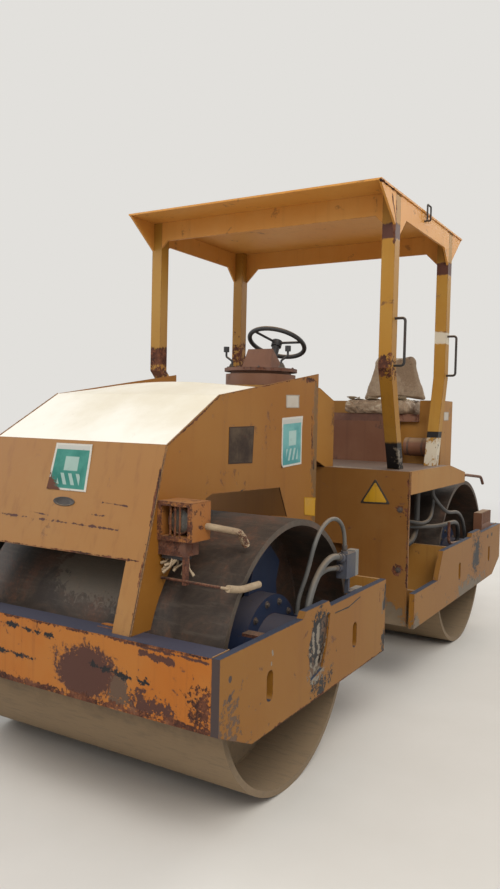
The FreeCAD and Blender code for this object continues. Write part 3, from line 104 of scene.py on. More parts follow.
class Graph:
    """Adds nodes to a shader, group or geometry tree and links what it is given."""

    def __init__(self, tree):
        self.tree = tree

    def found(self, kind):
        return next(n for n in self.tree.nodes if n.type == kind)

    def put(self, socket, value):
        if isinstance(value, bpy.types.NodeSocket):
            self.tree.links.new(value, socket)
        else:
            socket.default_value = value

    def node(self, kind, inputs=None, **settings):
        made = self.tree.nodes.new(kind)
        for key, value in settings.items():
            setattr(made, key, value)
        for key, value in (inputs or {}).items():
            self.put(made.inputs[key], value)
        return made

    def out(self, kind, inputs=None, **settings):
        """A new node's first output."""
        return self.node(kind, inputs, **settings).outputs[0]

    def group(self, name, **inputs):
        return self.node("ShaderNodeGroup", inputs, node_tree=GROUPS[name]).outputs

    def math(self, operation, *values, clamp=False):
        return self.out("ShaderNodeMath", dict(enumerate(values)), operation=operation, use_clamp=clamp)

    def times(self, first, second, clamp=False):
        return self.math("MULTIPLY", first, second, clamp=clamp)

    def minus(self, first, second):
        return self.math("SUBTRACT", first, second)

    def most(self, first, second):
        return self.math("MAXIMUM", first, second)

    def sum(self, value, share, rest):
        """The value times a share, plus the rest."""
        return self.math("MULTIPLY_ADD", value, share, rest)

    def vector(self, operation, *values):
        made = self.node("ShaderNodeVectorMath", dict(enumerate(values)), operation=operation)
        return made.outputs["Value" if operation in ("LENGTH", "DOT_PRODUCT") else "Vector"]

    def scaled(self, at, factor):
        return self.out("ShaderNodeVectorMath", {0: at, "Scale": factor}, operation="SCALE")

    def parts(self, at):
        return self.node("ShaderNodeSeparateXYZ", {0: at}).outputs

    def place(self):
        """Where the surface lies, in the piece's own coordinates."""
        return self.node("ShaderNodeTexCoord").outputs["Object"]

    def facing(self):
        """How far the surface faces up, from -1 to 1."""
        return self.parts(self.node("ShaderNodeNewGeometry").outputs["Normal"])[2]

    def noise(self, at, scale, detail=4.0, rough=0.55, lumps=0.0):
        inputs = {"Vector": at, "Scale": scale, "Detail": detail, "Roughness": rough, "Distortion": lumps}
        return self.out("ShaderNodeTexNoise", inputs)

    def step(self, value, low, high):
        """0 below low and 1 above high, smooth between them."""
        inputs = {"Value": value, "From Min": low, "From Max": high}
        return self.out("ShaderNodeMapRange", inputs, interpolation_type="SMOOTHSTEP")

    def between(self, value, low, high):
        """1 where the value lies between low and high."""
        soft = 0.01
        return self.times(self.step(value, low - soft, low + soft), self.step(value, high + soft, high - soft))

    def window(self, across, up, left, right, low, high):
        """1 within a rectangle."""
        return self.times(self.between(across, left, right), self.between(up, low, high))

    def mix(self, share, first, second):
        """From the first colour to the second."""
        return self.node("ShaderNodeMix", {0: share, 6: first, 7: second}, data_type="RGBA").outputs[2]

    def blend(self, share, first, second):
        """From the first value to the second."""
        return self.out("ShaderNodeMix", {0: share, 2: first, 3: second}, data_type="FLOAT")

    def coats(self, colour, *coats):
        """Lay coats over a colour, each a mask, the mask's share and a tint."""
        for mask, share, tint in coats:
            colour = self.mix(mask if share == 1 else self.times(mask, share), colour, tint)
        return colour

    def finish(self, colour, rough, height=None, depth=None, more=()):
        """Give the shader its colour, its roughness, bumps of a depth in metres, and more by name."""
        for label, value in {"Base Color": colour, "Roughness": rough, **dict(more)}.items():
            self.put(self.shader.inputs[label], value)
        if height is not None:
            bump = self.out("ShaderNodeBump", {"Strength": 1.0, "Distance": depth, "Height": height})
            self.put(self.shader.inputs["Normal"], bump)


def new_group(name, inputs, outputs):
    """A shader group with named inputs, each with its value, and named outputs."""
    tree = GROUPS[name] = bpy.data.node_groups.new(name, "ShaderNodeTree")
    kinds = {float: "NodeSocketFloat", tuple: "NodeSocketVector", list: "NodeSocketColor"}
    for label, value in inputs.items():
        tree.interface.new_socket(label, in_out="INPUT", socket_type=kinds[type(value)]).default_value = value
    for label, kind in outputs.items():
        tree.interface.new_socket(label, in_out="OUTPUT", socket_type=kinds[kind])
    graph = Graph(tree)
    return graph, graph.node("NodeGroupInput").outputs, graph.node("NodeGroupOutput").inputs


def new_material(name):
    """A new material's graph, which knows its shader."""
    made = materials[name] = bpy.data.materials.new(name)
    made.use_nodes = True
    graph = Graph(made.node_tree)
    graph.shader = graph.found("BSDF_PRINCIPLED")
    return graph


def patch_group():
    """A ragged patch round a place, 1 inside and 0 outside; Square turns it from round to a band."""
    inputs = {"Centre": (0.0, 0.0, 0.0), "Reach": (0.1, 0.1, 0.1), "Ragged": 0.8, "Square": 0.0, "Edge": 0.12,
              "Wobble": 0.0}
    graph, given, taken = new_group("Patch", inputs, {"Mask": float})
    away = graph.vector("DIVIDE", graph.vector("SUBTRACT", graph.place(), given["Centre"]), given["Reach"])
    x, y, z = graph.parts(graph.vector("ABSOLUTE", away))
    far = graph.blend(given["Square"], graph.vector("LENGTH", away), graph.most(graph.most(x, y), z))
    edge = graph.sum(given["Wobble"], given["Ragged"], far)
    graph.put(taken["Mask"], graph.step(edge, graph.math("ADD", 1.0, given["Edge"]), graph.minus(1.0, given["Edge"])))


def stroke_group():
    """A scratch, crack or worn edge from one place to another."""
    inputs = {"From": (0.0, 0.0, 0.0), "To": (0.1, 0.0, 0.0), "Width": 0.01, "Ragged": 1.0, "Wobble": 0.0}
    graph, given, taken = new_group("Stroke", inputs, {"Mask": float})
    run = graph.vector("SUBTRACT", given["To"], given["From"])
    away = graph.vector("SUBTRACT", graph.place(), given["From"])
    share = graph.math("DIVIDE", graph.vector("DOT_PRODUCT", away, run), graph.vector("DOT_PRODUCT", run, run),
                       clamp=True)
    beside = graph.vector("SUBTRACT", away, graph.scaled(run, share))
    far = graph.math("DIVIDE", graph.vector("LENGTH", beside), given["Width"])
    graph.put(taken["Mask"], graph.step(graph.sum(given["Wobble"], given["Ragged"], far), 1.15, 0.8))


def weather_group():
    """Rust, dust, chips and streaks of an old machine, from where the surface lies and faces."""
    inputs = {"Rust": 0.3, "Dust": 0.4, "Wear": 0.5, "Streaks": 0.3, "Scale": 1.0, "Low": 0.75}
    outputs = dict.fromkeys(("Rust", "Dust", "Chips", "Streaks", "Fade", "Grain", "Wobble"), float)
    graph, given, taken = new_group("Weather", inputs, outputs)
    at = graph.place()
    scaled = graph.scaled(at, given["Scale"])
    normal = graph.node("ShaderNodeNewGeometry").outputs["Normal"]
    round_edge = graph.out("ShaderNodeBevel", {"Radius": 0.006}, samples=3)
    bend = graph.minus(1.0, graph.vector("DOT_PRODUCT", round_edge, normal))
    broad = graph.noise(scaled, 8.0, 8.0, 0.68, 0.4)
    fine = graph.noise(scaled, 44.0, 5.0, 0.7)
    spread = graph.noise(scaled, 3.6, 9.0, 0.72, 0.5)
    chips = graph.times(graph.step(bend, 0.008, 0.08), graph.step(fine, 0.44, 0.56))
    blots = graph.times(graph.step(broad, 0.62, 0.66), graph.step(fine, 0.4, 0.52))
    graph.put(taken["Chips"], graph.times(graph.most(chips, graph.times(blots, 0.9)), given["Wear"], clamp=True))
    level = graph.sum(given["Rust"], -0.32, 0.76)
    rust = graph.step(graph.sum(fine, 0.1, graph.minus(spread, 0.05)), level, graph.math("ADD", level, 0.04))
    near_edge = graph.times(graph.step(bend, 0.0, 0.05), graph.step(broad, 0.46, 0.56))
    specks = graph.times(graph.step(fine, 0.655, 0.69), graph.step(spread, 0.5, 0.6))
    edges = graph.times(graph.most(near_edge, specks), given["Rust"])
    graph.put(taken["Rust"], graph.math("MINIMUM", graph.most(rust, graph.times(edges, 1.8)), 1.0))
    flat = graph.step(graph.parts(normal)[2], 0.2, 0.95)
    sunk = graph.step(graph.sum(broad, 0.25, graph.minus(graph.parts(at)[2], 0.12)), given["Low"],
                      graph.times(given["Low"], 0.45))
    lying = graph.most(graph.times(flat, 0.95), graph.times(sunk, 0.9))
    film = graph.sum(graph.noise(scaled, 2.3, 6.0, 0.62), 0.5, graph.times(lying, 0.75))
    thick = graph.step(graph.sum(fine, 0.22, film), 0.42, 1.15)
    graph.put(taken["Dust"], graph.math("MINIMUM", graph.times(thick, graph.times(given["Dust"], 1.6)), 1.0))
    narrow = graph.vector("MULTIPLY", scaled, (19.0, 19.0, 0.8))
    runs = graph.step(graph.noise(narrow, 1.0, 5.0, 0.6), 0.52, 0.7)
    graph.put(taken["Streaks"], graph.times(runs, given["Streaks"]))
    graph.put(taken["Fade"], graph.step(graph.noise(scaled, 1.5, 7.0, 0.62), 0.36, 0.66))
    graph.put(taken["Grain"], graph.noise(scaled, 150.0, 3.0, 0.6))
    graph.put(taken["Wobble"], graph.sum(graph.minus(broad, 0.5), 1.9, graph.times(graph.minus(fine, 0.5), 1.5)))


def rust_group():
    """The colours and bumps of rusted steel."""
    graph, given, taken = new_group("Rusted", {"Scale": 1.0, "Dry": 0.4}, {"Color": list, "Height": float})
    scaled = graph.scaled(graph.place(), given["Scale"])
    broad = graph.noise(scaled, 9.0, 8.0, 0.7)
    fine = graph.noise(scaled, 70.0, 6.0, 0.7)
    deep = graph.mix(graph.step(broad, 0.38, 0.62), rgb(52, 32, 26), rgb(98, 56, 38))
    flecks = graph.mix(graph.step(fine, 0.5, 0.68), deep, rgb(128, 76, 46))
    graph.put(taken["Color"], graph.coats(flecks, (graph.step(broad, 0.5, 0.75), given["Dry"], rgb(140, 108, 82))))
    graph.put(taken["Height"], graph.sum(broad, 0.6, graph.times(fine, 0.5)))


def marked(graph, table, wobble):
    """The largest of several marks: a line has two ends and a width, a patch or square band a centre and a reach.

    The last number of each is how ragged it is."""
    mask = None
    for kind, first, second, *width, ragged in table:
        if kind == "line":
            one = graph.group("Stroke", From=first, To=second, Width=width[0], Ragged=ragged, Wobble=wobble)["Mask"]
        else:
            one = graph.group("Patch", Centre=first, Reach=second, Ragged=ragged, Wobble=wobble,
                              Square=1.0 if kind == "band" else 0.0)["Mask"]
        mask = one if mask is None else graph.most(mask, one)
    return mask


def painted(name, paint, faded, rust=0.3, dust=0.4, wear=0.5, streaks=0.3, scale=1.0, low=0.75, marks=(),
            under=PRIMER, sunlight_and_shade=0.0, top=None, inside=0.0):
    """Old paint over primer: faded in clouds, chipped at edges, rusted in patches, with dust on top.

    The sunlight share paints sunlight on what faces up and shade under what faces down; top colours level faces,
    and what lies nearer the middle than inside, below about 1.37 m, gets painted shade."""
    graph = new_material(name)
    weather = graph.group("Weather", Rust=rust, Dust=dust, Wear=wear, Streaks=streaks, Scale=scale, Low=low)
    metal = graph.group("Rusted", Scale=scale)
    colour = graph.coats(paint, (weather["Fade"], 0.7, faded), (weather["Streaks"], 1, graph.mix(0.5, paint, under)),
                         (weather["Chips"], 1, under))
    bare, eaten = weather["Chips"], weather["Rust"]
    for kind, tint in MARKS.items():
        if kind in marks:
            mask = marked(graph, marks[kind], weather["Wobble"])
            colour = graph.mix(mask, colour, tint)
            bare = graph.most(bare, mask)
    if "rust" in marks:
        eaten = graph.most(eaten, marked(graph, marks["rust"], weather["Wobble"]))
    colour = graph.coats(colour, (eaten, 1, metal["Color"]), (weather["Dust"], 1, DUST))
    facing = graph.facing() if top or sunlight_and_shade else None
    # top paints a colour over level faces; the plates and beams use it for painted sky shade.
    if top:
        colour = graph.coats(colour, (graph.step(facing, 0.8, 0.95), 0.92, top))
    # Painted shade on inner faces nearer the middle than inside, below about 1.37 m.
    if inside:
        _, out, up = graph.parts(graph.place())
        within = graph.step(graph.math("ABSOLUTE", out), inside + 0.0015, inside - 0.0015)
        colour = graph.coats(colour, (graph.step(up, 1.4, 1.34), within, rgb(34, 28, 25)))
    # Painted sunlight: faces that look up turn pale. Painted shade: faces that look down turn dark.
    if sunlight_and_shade:
        pale = graph.mix(weather["Fade"], rgb(240, 234, 220), rgb(222, 212, 190))
        colour = graph.coats(colour, (graph.step(facing, 0.35, 0.8), graph.sum(eaten, -0.8, sunlight_and_shade), pale),
                             (graph.step(facing, -0.2, -0.5), 1, rgb(40, 32, 28)))
    rough = graph.blend(graph.most(eaten, weather["Dust"]), 0.5, 0.92)
    layers = graph.minus(graph.times(metal["Height"], eaten), graph.most(bare, eaten))
    graph.finish(colour, rough, graph.sum(weather["Grain"], 0.15, layers), 0.0012, {"Specular IOR Level": 0.3})


def worn_steel(name, dark, light, dust=0.5, rough=0.6, metal=0.3, scale=1.0, rust=0.4):
    """Bare steel or casting: mottled between two colours, part rusted, dusty."""
    graph = new_material(name)
    weather = graph.group("Weather", Rust=rust, Dust=dust, Wear=0.6, Scale=scale)
    rusty = graph.group("Rusted", Scale=scale * 1.6)
    colour = graph.coats(dark, (weather["Fade"], 1, light), (weather["Rust"], 1, rusty["Color"]),
                         (weather["Chips"], 0.4, rgb(132, 126, 118)), (weather["Dust"], 1, DUST))
    dull = graph.blend(graph.most(weather["Rust"], weather["Dust"]), rough, 0.95)
    graph.finish(colour, dull, graph.sum(weather["Grain"], 0.4, rusty["Height"]), 0.001, {"Metallic": metal})


def drum_steel(name):
    """A drum's rolled skin and discs: dusty tan low down, mottled, and darker above as painted shade."""
    graph = new_material(name)
    at = graph.place()
    _, out, height = graph.parts(at)
    rusty = graph.group("Rusted", Scale=1.3, Dry=0.2)
    broad = graph.noise(at, 4.0, 9.0, 0.72, 0.6)
    fine = graph.noise(graph.vector("MULTIPLY", at, (60.0, 9.0, 60.0)), 1.0, 5.0, 0.65)
    # Tan dust low down; the same step by height leaves the upper skin dark as painted shade under the frame.
    dust_low_shade_high = graph.sum(graph.noise(at, 8.0, 7.0, 0.68), 0.6, graph.step(height, 0.62, 0.1))
    wobble = graph.minus(graph.noise(at, 22.0, 9.0, 0.8, 0.8), 0.5)
    crust = marked(graph, [("patch", (1.68, 0.12, 0.88), (0.12, 0.26, 0.14), 3.0)], wobble)
    rim = graph.step(graph.math("ABSOLUTE", out), 0.7375, 0.7388)
    colour = graph.coats(
        rgb(52, 43, 37),
        (graph.step(broad, 0.38, 0.62), 1, rgb(78, 65, 54)), (graph.step(broad, 0.47, 0.6), 0.45, rusty["Color"]),
        (graph.step(dust_low_shade_high, 0.36, 0.95), 0.95, rgb(148, 126, 98)), (crust, 0.6, rgb(112, 100, 84)),
        (rim, 0.35, rgb(96, 84, 70)), (graph.step(fine, 0.48, 0.7), 0.3, rgb(100, 90, 78)))
    rough = graph.blend(graph.step(dust_low_shade_high, 0.3, 0.9), 0.6, 0.95)
    grit = graph.sum(graph.noise(at, 90.0, 4.0, 0.7), 0.6, fine)
    graph.finish(colour, rough, grit, 0.0012, {"Metallic": 0.2})


def moulded(name, colour, pale, rough=0.55, dust=0.35):
    """Plastic or rubber gone pale in places, with dust."""
    graph = new_material(name)
    weather = graph.group("Weather", Rust=0.0, Dust=dust, Streaks=0.1, Scale=2.5, Low=0.2)
    colour = graph.coats(colour, (weather["Fade"], 1, pale), (weather["Dust"], 1, DUST))
    graph.finish(colour, graph.blend(weather["Dust"], rough, 0.9), weather["Grain"], 0.0006)


def split_finish(name, edge, ahead, behind):
    """Two worn finishes on one piece, ahead of a place and behind it; each is (dark, light)."""
    graph = new_material(name)
    weather = graph.group("Weather", Dust=0.3, Wear=0.6, Streaks=0.2, Scale=3.0, Low=0.2)
    side = graph.step(graph.parts(graph.place())[0], edge - 0.001, edge + 0.001)
    first, second = (graph.mix(weather["Fade"], *pair) for pair in (behind, ahead))
    colour = graph.coats(first, (side, 1, second), (weather["Rust"], 0.6, graph.group("Rusted", Scale=2.4)["Color"]),
                         (weather["Dust"], 0.7, DUST))
    graph.finish(colour, 0.8, graph.sum(weather["Grain"], 0.5, weather["Wobble"]), 0.0012)


def pipe_finish(name):
    """Rusty rod and strap, with a cream elbow above and a cream sleeve outside."""
    graph = new_material(name)
    weather = graph.group("Weather", Rust=0.35, Dust=0.25, Streaks=0.2, Scale=4.0, Low=0.2)
    rusty = graph.group("Rusted", Scale=2.4)["Color"]
    _, out, up = graph.parts(graph.place())
    elbow = graph.step(up, 1.026, 1.03)
    sleeve = graph.times(graph.step(out, 0.736, 0.74), graph.step(up, 0.86, 0.87))
    cream = graph.mix(weather["Fade"], rgb(178, 158, 128), rgb(146, 124, 98))
    torn = graph.times(graph.step(out, 0.668, 0.7), graph.times(elbow, graph.step(weather["Wobble"], -0.06, 0.06)))
    colour = graph.coats(rusty, (graph.most(elbow, sleeve), 1, cream),
                         (graph.most(torn, graph.times(weather["Rust"], 0.7)), 1, rusty), (weather["Dust"], 0.5, DUST))
    graph.finish(colour, 0.85, graph.sum(weather["Grain"], 0.4, weather["Wobble"]), 0.0012)


def lens(name):
    """Dusty ribbed lamp glass."""
    graph = new_material(name)
    at = graph.place()
    dirt = graph.step(graph.noise(at, 30.0, 6.0, 0.7), 0.35, 0.65)
    ribs = graph.times(graph.math("PINGPONG", graph.parts(at)[1], 0.004), 60.0)
    graph.finish(graph.mix(dirt, rgb(120, 116, 108), rgb(104, 94, 82)), graph.blend(dirt, 0.08, 0.6), ribs, 0.001,
                 {"Transmission Weight": 0.35, "IOR": 1.5})


def seat_vinyl(name):
    """Cracked and torn seat cover, bleached, with pale foam in its tears."""
    graph = new_material(name)
    at = graph.place()
    cells = graph.out("ShaderNodeTexVoronoi", {"Vector": at, "Scale": 48.0, "Randomness": 1.0},
                      feature="DISTANCE_TO_EDGE")
    cracks = graph.step(cells, 0.06, 0.0)
    broad = graph.noise(at, 7.0, 8.0, 0.72, 0.7)
    torn = graph.step(broad, 0.53, 0.57)
    colour = graph.coats(
        rgb(140, 118, 94),
        (graph.step(graph.noise(at, 4.0, 7.0, 0.68), 0.38, 0.62), 1, rgb(168, 148, 124)),
        (cracks, 0.3, rgb(70, 54, 44)), (torn, graph.step(graph.facing(), -0.3, 0.7), rgb(190, 176, 152)),
        (graph.step(broad, 0.42, 0.34), 0.8, rgb(74, 56, 46)))
    wrinkles = graph.noise(graph.vector("MULTIPLY", at, (1.0, 2.5, 1.0)), 22.0, 5.0, 0.6, 0.8)
    graph.finish(colour, 0.82, graph.minus(graph.sum(torn, 0.3, wrinkles), graph.times(cracks, 0.3)), 0.0014)


def sign_finish(name, draw, dust, rust):
    """A thin plate or sheet; draw gives its colour from its own coordinates, 0 to 1 across and up."""
    graph = new_material(name)
    across, up, _ = graph.parts(graph.out("ShaderNodeUVMap", uv_map="UVMap"))
    weather = graph.group("Weather", Rust=0.25, Dust=dust, Scale=3.5, Low=0.1)
    rusty = graph.group("Rusted", Scale=3.0)
    colour = graph.coats(draw(graph, across, up, weather["Fade"], weather["Wobble"]), (weather["Chips"], 1, PRIMER),
                         (weather["Rust"], rust, rusty["Color"]), (weather["Dust"], 0.4, DUST))
    graph.finish(colour, 0.7, weather["Grain"], 0.0003, {"Specular IOR Level": 0.25})


def plain_sign(name, face, edge, border, rust):
    """A blank plate with a border."""
    def draw(graph, across, up, fade, _):
        inner = graph.window(across, up, border, 1 - border, border, 1 - border)
        return graph.mix(inner, edge, graph.mix(fade, face, graph.mix(0.25, face, DUST)))
    sign_finish(name, draw, 0.25, rust)


def poster(name, slant, torn, light, deep):
    """A faded teal sheet: white rim and heading, a pale panel and slanting bars beneath, torn at one corner."""
    def draw(graph, across, up, fade, wobble):
        teal = graph.mix(fade, deep, light)
        pale = graph.mix(0.5, teal, rgb(196, 206, 196))
        bars = graph.step(graph.math("PINGPONG", graph.sum(up, slant, across), 0.1), 0.05, 0.06)
        colour = graph.coats(
            teal, (bars, graph.window(across, up, 0.22, 0.8, 0.12, 0.36), pale),
            (graph.window(across, up, 0.34, 0.7, 0.42, 0.72), 1, pale),
            (graph.step(up, 0.865, 0.875), 1, rgb(180, 178, 170)))
        colour = graph.mix(graph.window(across, up, 0.05, 0.95, 0.04, 0.96), rgb(196, 190, 178), colour)
        corner = graph.sum(wobble, 0.25, graph.math("ADD", across, up))
        return graph.mix(graph.step(corner, torn + 0.04, torn - 0.04), colour, rgb(88, 52, 36))
    sign_finish(name, draw, 0.3, 0.4)


def build_materials():
    """Every finish, once; the marks are where the photograph shows them."""
    for group in (patch_group, stroke_group, weather_group, rust_group):
        group()
    # The hood sides take a darker ochre than the cowl's, as painted shade; their inner faces get painted shade too.
    ochre, faded = rgb(138, 88, 28), rgb(144, 98, 40)
    painted(
        "hood_side", ochre, faded, rust=0.1, dust=0.1, wear=0.6, streaks=0.2, low=0.4, inside=0.447,
        marks={
            "rust": [("line", (1.735, HOOD, 1.405), (1.402, HOOD, 1.593), 0.0022, 7.0),
                     ("line", (1.4, HOOD, 1.597), (0.7, HOOD, 1.7), 0.0018, 7.0),
                     ("patch", (0.585, HOOD, 1.702), (0.09, 0.05, 0.012), 2.4),
                     ("line", (1.935, HOOD, 0.76), (1.75, HOOD, 1.4), 0.0014, 7.0),
                     ("line", (0.545, HOOD, 1.52), (0.53, HOOD, 1.28), 0.004, 5.0)],
            "black": [("line", (1.484, HOOD, 1.1), (1.2, HOOD, 1.199), 0.003, 3.0),
                      ("line", (0.51, HOOD, 1.3), (0.512, HOOD, 1.255), 0.0035, 2.0),
                      ("line", (0.535, HOOD, 1.298), (0.53, HOOD, 1.262), 0.0035, 2.0)],
            "shade": [("line", (0.5, HOOD, 1.66), (0.49, HOOD, 1.0), 0.03, 3.0)],
        },
    )
    # Painted sunlight on the hood front's bevel and painted shade under what faces down.
    painted(
        "hood_front", rgb(150, 104, 54), rgb(156, 116, 68), rust=0.1, dust=0.16, wear=0.5, streaks=0.35, low=0.5,
        sunlight_and_shade=0.97,
        marks={
            "rust": [("line", (1.866, -0.42, 0.988), (1.866, 0.42, 0.988), 0.0016, 8.0),
                     ("line", (1.935, 0.44, 0.76), (1.748, 0.44, 1.4), 0.0018, 8.0)],
            "primer": [("line", (1.83, -0.16, 1.115), (1.832, -0.06, 1.108), 0.002, 6.0),
                       ("line", (1.838, -0.35, 1.095), (1.838, 0.3, 1.085), 0.0022, 9.0),
                       ("line", (1.83, 0.16, 1.13), (1.82, 0.26, 1.128), 0.0022, 7.0),
                       ("line", (1.812, 0.2, 1.178), (1.812, 0.32, 1.172), 0.0016, 8.0)],
        },
    )
    # The hood top's pale cream is painted sunlight on the hood's ochre, with more on what faces up.
    painted(
        "hood_top", rgb(214, 190, 146), rgb(232, 216, 188), rust=0.1, dust=0.2, wear=0.5, streaks=0.1, sunlight_and_shade=0.97,
        marks={"rust": [("line", (1.4, 0.44, 1.6), (0.6, 0.44, 1.71), 0.004, 6.0)]},
    )
    # Blue grey for the level tops of plates and beams: painted sky shade.
    sky_shade_blue = rgb(38, 54, 74)
    # The side plates' darker ochre is painted shade of the side.
    painted(
        "plate", rgb(130, 84, 24), rgb(136, 93, 34), rust=0.14, dust=0.1, wear=0.7, streaks=0.18, low=0.46,
        top=sky_shade_blue,
        marks={
            "rust": [("line", (0.56, SIDE, 0.7), (0.556, SIDE, 0.64), 0.005, 5.0),
                     ("line", (0.01, SIDE, 0.57), (0.02, SIDE, 0.4), 0.004, 6.0),
                     ("line", (1.6, SIDE, 0.386), (0.5, SIDE, 0.386), 0.002, 8.0)],
            "brown": [("band", (1.225, 0.828, 0.59), (0.115, 0.0062, 0.135), 0.0),
                      ("patch", (1.9, 0.84, 0.44), (0.06, 0.05, 0.07), 6.0)],
            "steel": [("band", (1.972, 0.827, 0.6), (0.003, 0.03, 0.3), 0.0),
                      ("patch", (1.905, SIDE, 0.655), (0.01, 0.03, 0.011), 0.5),
                      ("patch", (1.905, SIDE, 0.592), (0.01, 0.03, 0.011), 0.5)],
            "black": [("patch", (0.494, 0.84, 0.44), (0.03, 0.05, 0.055), 1.6),
                      ("line", (0.486, SIDE, 0.705), (0.494, SIDE, 0.6), 0.012, 2.0),
                      ("line", (1.078, SIDE, 0.697), (0.935, SIDE, 0.692), 0.0028, 1.0),
                      ("line", (0.935, SIDE, 0.692), (0.806, SIDE, 0.712), 0.0028, 1.0),
                      # The black at the top of the tear is painted shade in its hollow.
                      ("patch", (1.25, 0.832, 0.675), (0.045, 0.02, 0.045), 2.0),
                      ("patch", (1.21, 0.832, 0.56), (0.06, 0.02, 0.1), 5.0),
                      ("patch", (-1.28, 0.84, 0.6), (0.085, 0.05, 0.13), 4.0),
                      ("patch", (-1.585, SIDE, 0.685), (0.02, 0.03, 0.014), 0.6),
                      ("patch", (-1.707, SIDE, 0.684), (0.02, 0.03, 0.014), 0.6)],
            "debris": [("line", (1.222, 0.832, 0.665), (1.213, 0.832, 0.56), 0.005, 9.0),
                       ("line", (1.262, 0.832, 0.65), (1.255, 0.832, 0.57), 0.004, 7.0),
                       ("line", (1.2, 0.832, 0.56), (1.25, 0.832, 0.5), 0.007, 7.0),
                       ("patch", (1.22, 0.832, 0.495), (0.05, 0.02, 0.022), 5.0),
                       ("line", (1.621, SIDE, 0.674), (1.616, SIDE, 0.662), 0.005, 1.2),
                       ("line", (1.626, SIDE, 0.634), (1.625, SIDE, 0.626), 0.004, 1.2)],
            "grey": [("patch", (-1.15, 0.84, 0.4), (0.3, 0.05, 0.055), 2.6),
                     ("patch", (0.0, 0.84, 0.4), (0.05, 0.05, 0.06), 2.4),
                     ("line", (0.515, SIDE, 0.7), (0.52, SIDE, 0.58), 0.003, 6.0)],
        },
    )
    painted(
        "beam", rgb(168, 96, 26), rgb(170, 108, 44), rust=0.4, dust=0.16, wear=1.0, streaks=0.35, low=0.4, scale=1.6,
        # painted sky shade on the beams' level tops
        top=sky_shade_blue,
        marks={
            "primer": [("patch", (1.97, 0.275, 0.585), (0.05, 0.15, 0.092), 1.0),
                       ("patch", (1.97, 0.56, 0.525), (0.05, 0.1, 0.035), 3.0),
                       ("line", (END, 0.66, 0.69), (END, 0.52, 0.705), 0.009, 3.0),
                       ("line", (END, 0.8, 0.716), (END, 0.45, 0.728), 0.004, 5.0)],
            "brown": [("patch", (1.97, 0.425, 0.545), (0.05, 0.04, 0.06), 2.6)],
            "rust": [("line", (END, -0.8, 0.49), (END, 0.8, 0.49), 0.012, 3.4),
                     ("line", (END, -0.8, 0.732), (END, 0.8, 0.732), 0.004, 6.0),
                     ("patch", (1.97, 0.76, 0.55), (0.05, 0.04, 0.07), 4.0)],
            "black": [("line", (END, -0.3, 0.705), (END, 0.1, 0.69), 0.006, 7.0),
                      ("line", (END, -0.4, 0.6), (END, 0.02, 0.585), 0.006, 7.0),
                      ("line", (END, 0.3, 0.62), (END, 0.56, 0.6), 0.006, 7.0)],
        },
    )
    painted(
        "canopy", rgb(200, 136, 58), rgb(206, 150, 78), rust=0.06, dust=0.12, wear=0.5, streaks=0.2, low=0.2,
        marks={"rust": [("line", (0.523, 0.77, 2.66), (0.303, 0.77, 2.66), 0.004, 5.0),
                        ("line", (0.3, 0.77, 2.52), (0.36, 0.77, 2.63), 0.004, 5.0)]},
    )
    painted(
        "posts", rgb(158, 110, 34), rgb(164, 124, 54), rust=0.12, dust=0.14, wear=0.7, streaks=0.3, low=0.2,
        marks={
            "rust": [("band", (0.27, -0.72, 1.865), (0.1, 0.08, 0.055), 0.8),
                     ("patch", (0.29, -0.74, 1.76), (0.05, 0.05, 0.06), 3.6),
                     ("patch", (0.29, 0.72, 1.77), (0.06, 0.06, 0.05), 3.0),
                     ("patch", (-0.64, -0.72, 1.93), (0.08, 0.05, 0.1), 3.6),
                     ("line", (0.303, 0.765, 2.62), (0.303, 0.765, 2.4), 0.006, 4.4)],
            "primer": [("band", (0.26, 0.72, 2.468), (0.1, 0.08, 0.04), 0.35),
                       ("band", (-0.65, 0.72, 2.438), (0.1, 0.08, 0.038), 0.35)],
            "black": [("band", (0.0, 0.68, 1.307), (0.3, 0.079, 0.078), 0.12),
                      ("band", (-0.65, 0.72, 1.425), (0.1, 0.08, 0.019), 0.08),
                      ("line", (-0.62, 0.72, 1.39), (-0.66, 0.72, 1.27), 0.01, 9.0)],
            "pale": [("band", (-0.65, 0.72, 2.02), (0.1, 0.08, 0.036), 0.5),
                     ("band", (-0.65, 0.72, 1.32), (0.1, 0.08, 0.082), 1.6),
                     # The pale band on the front posts' outer faces is partly sun-faded paint and partly painted
                     # sunlight.
                     ("band", (0.0, 0.772, 1.4), (0.4, 0.003, 0.16), 0.6)],
            "debris": [("line", (0.2, 0.7, 1.36), (-0.2, 0.7, 1.27), 0.01, 12.0)],
        },
    )
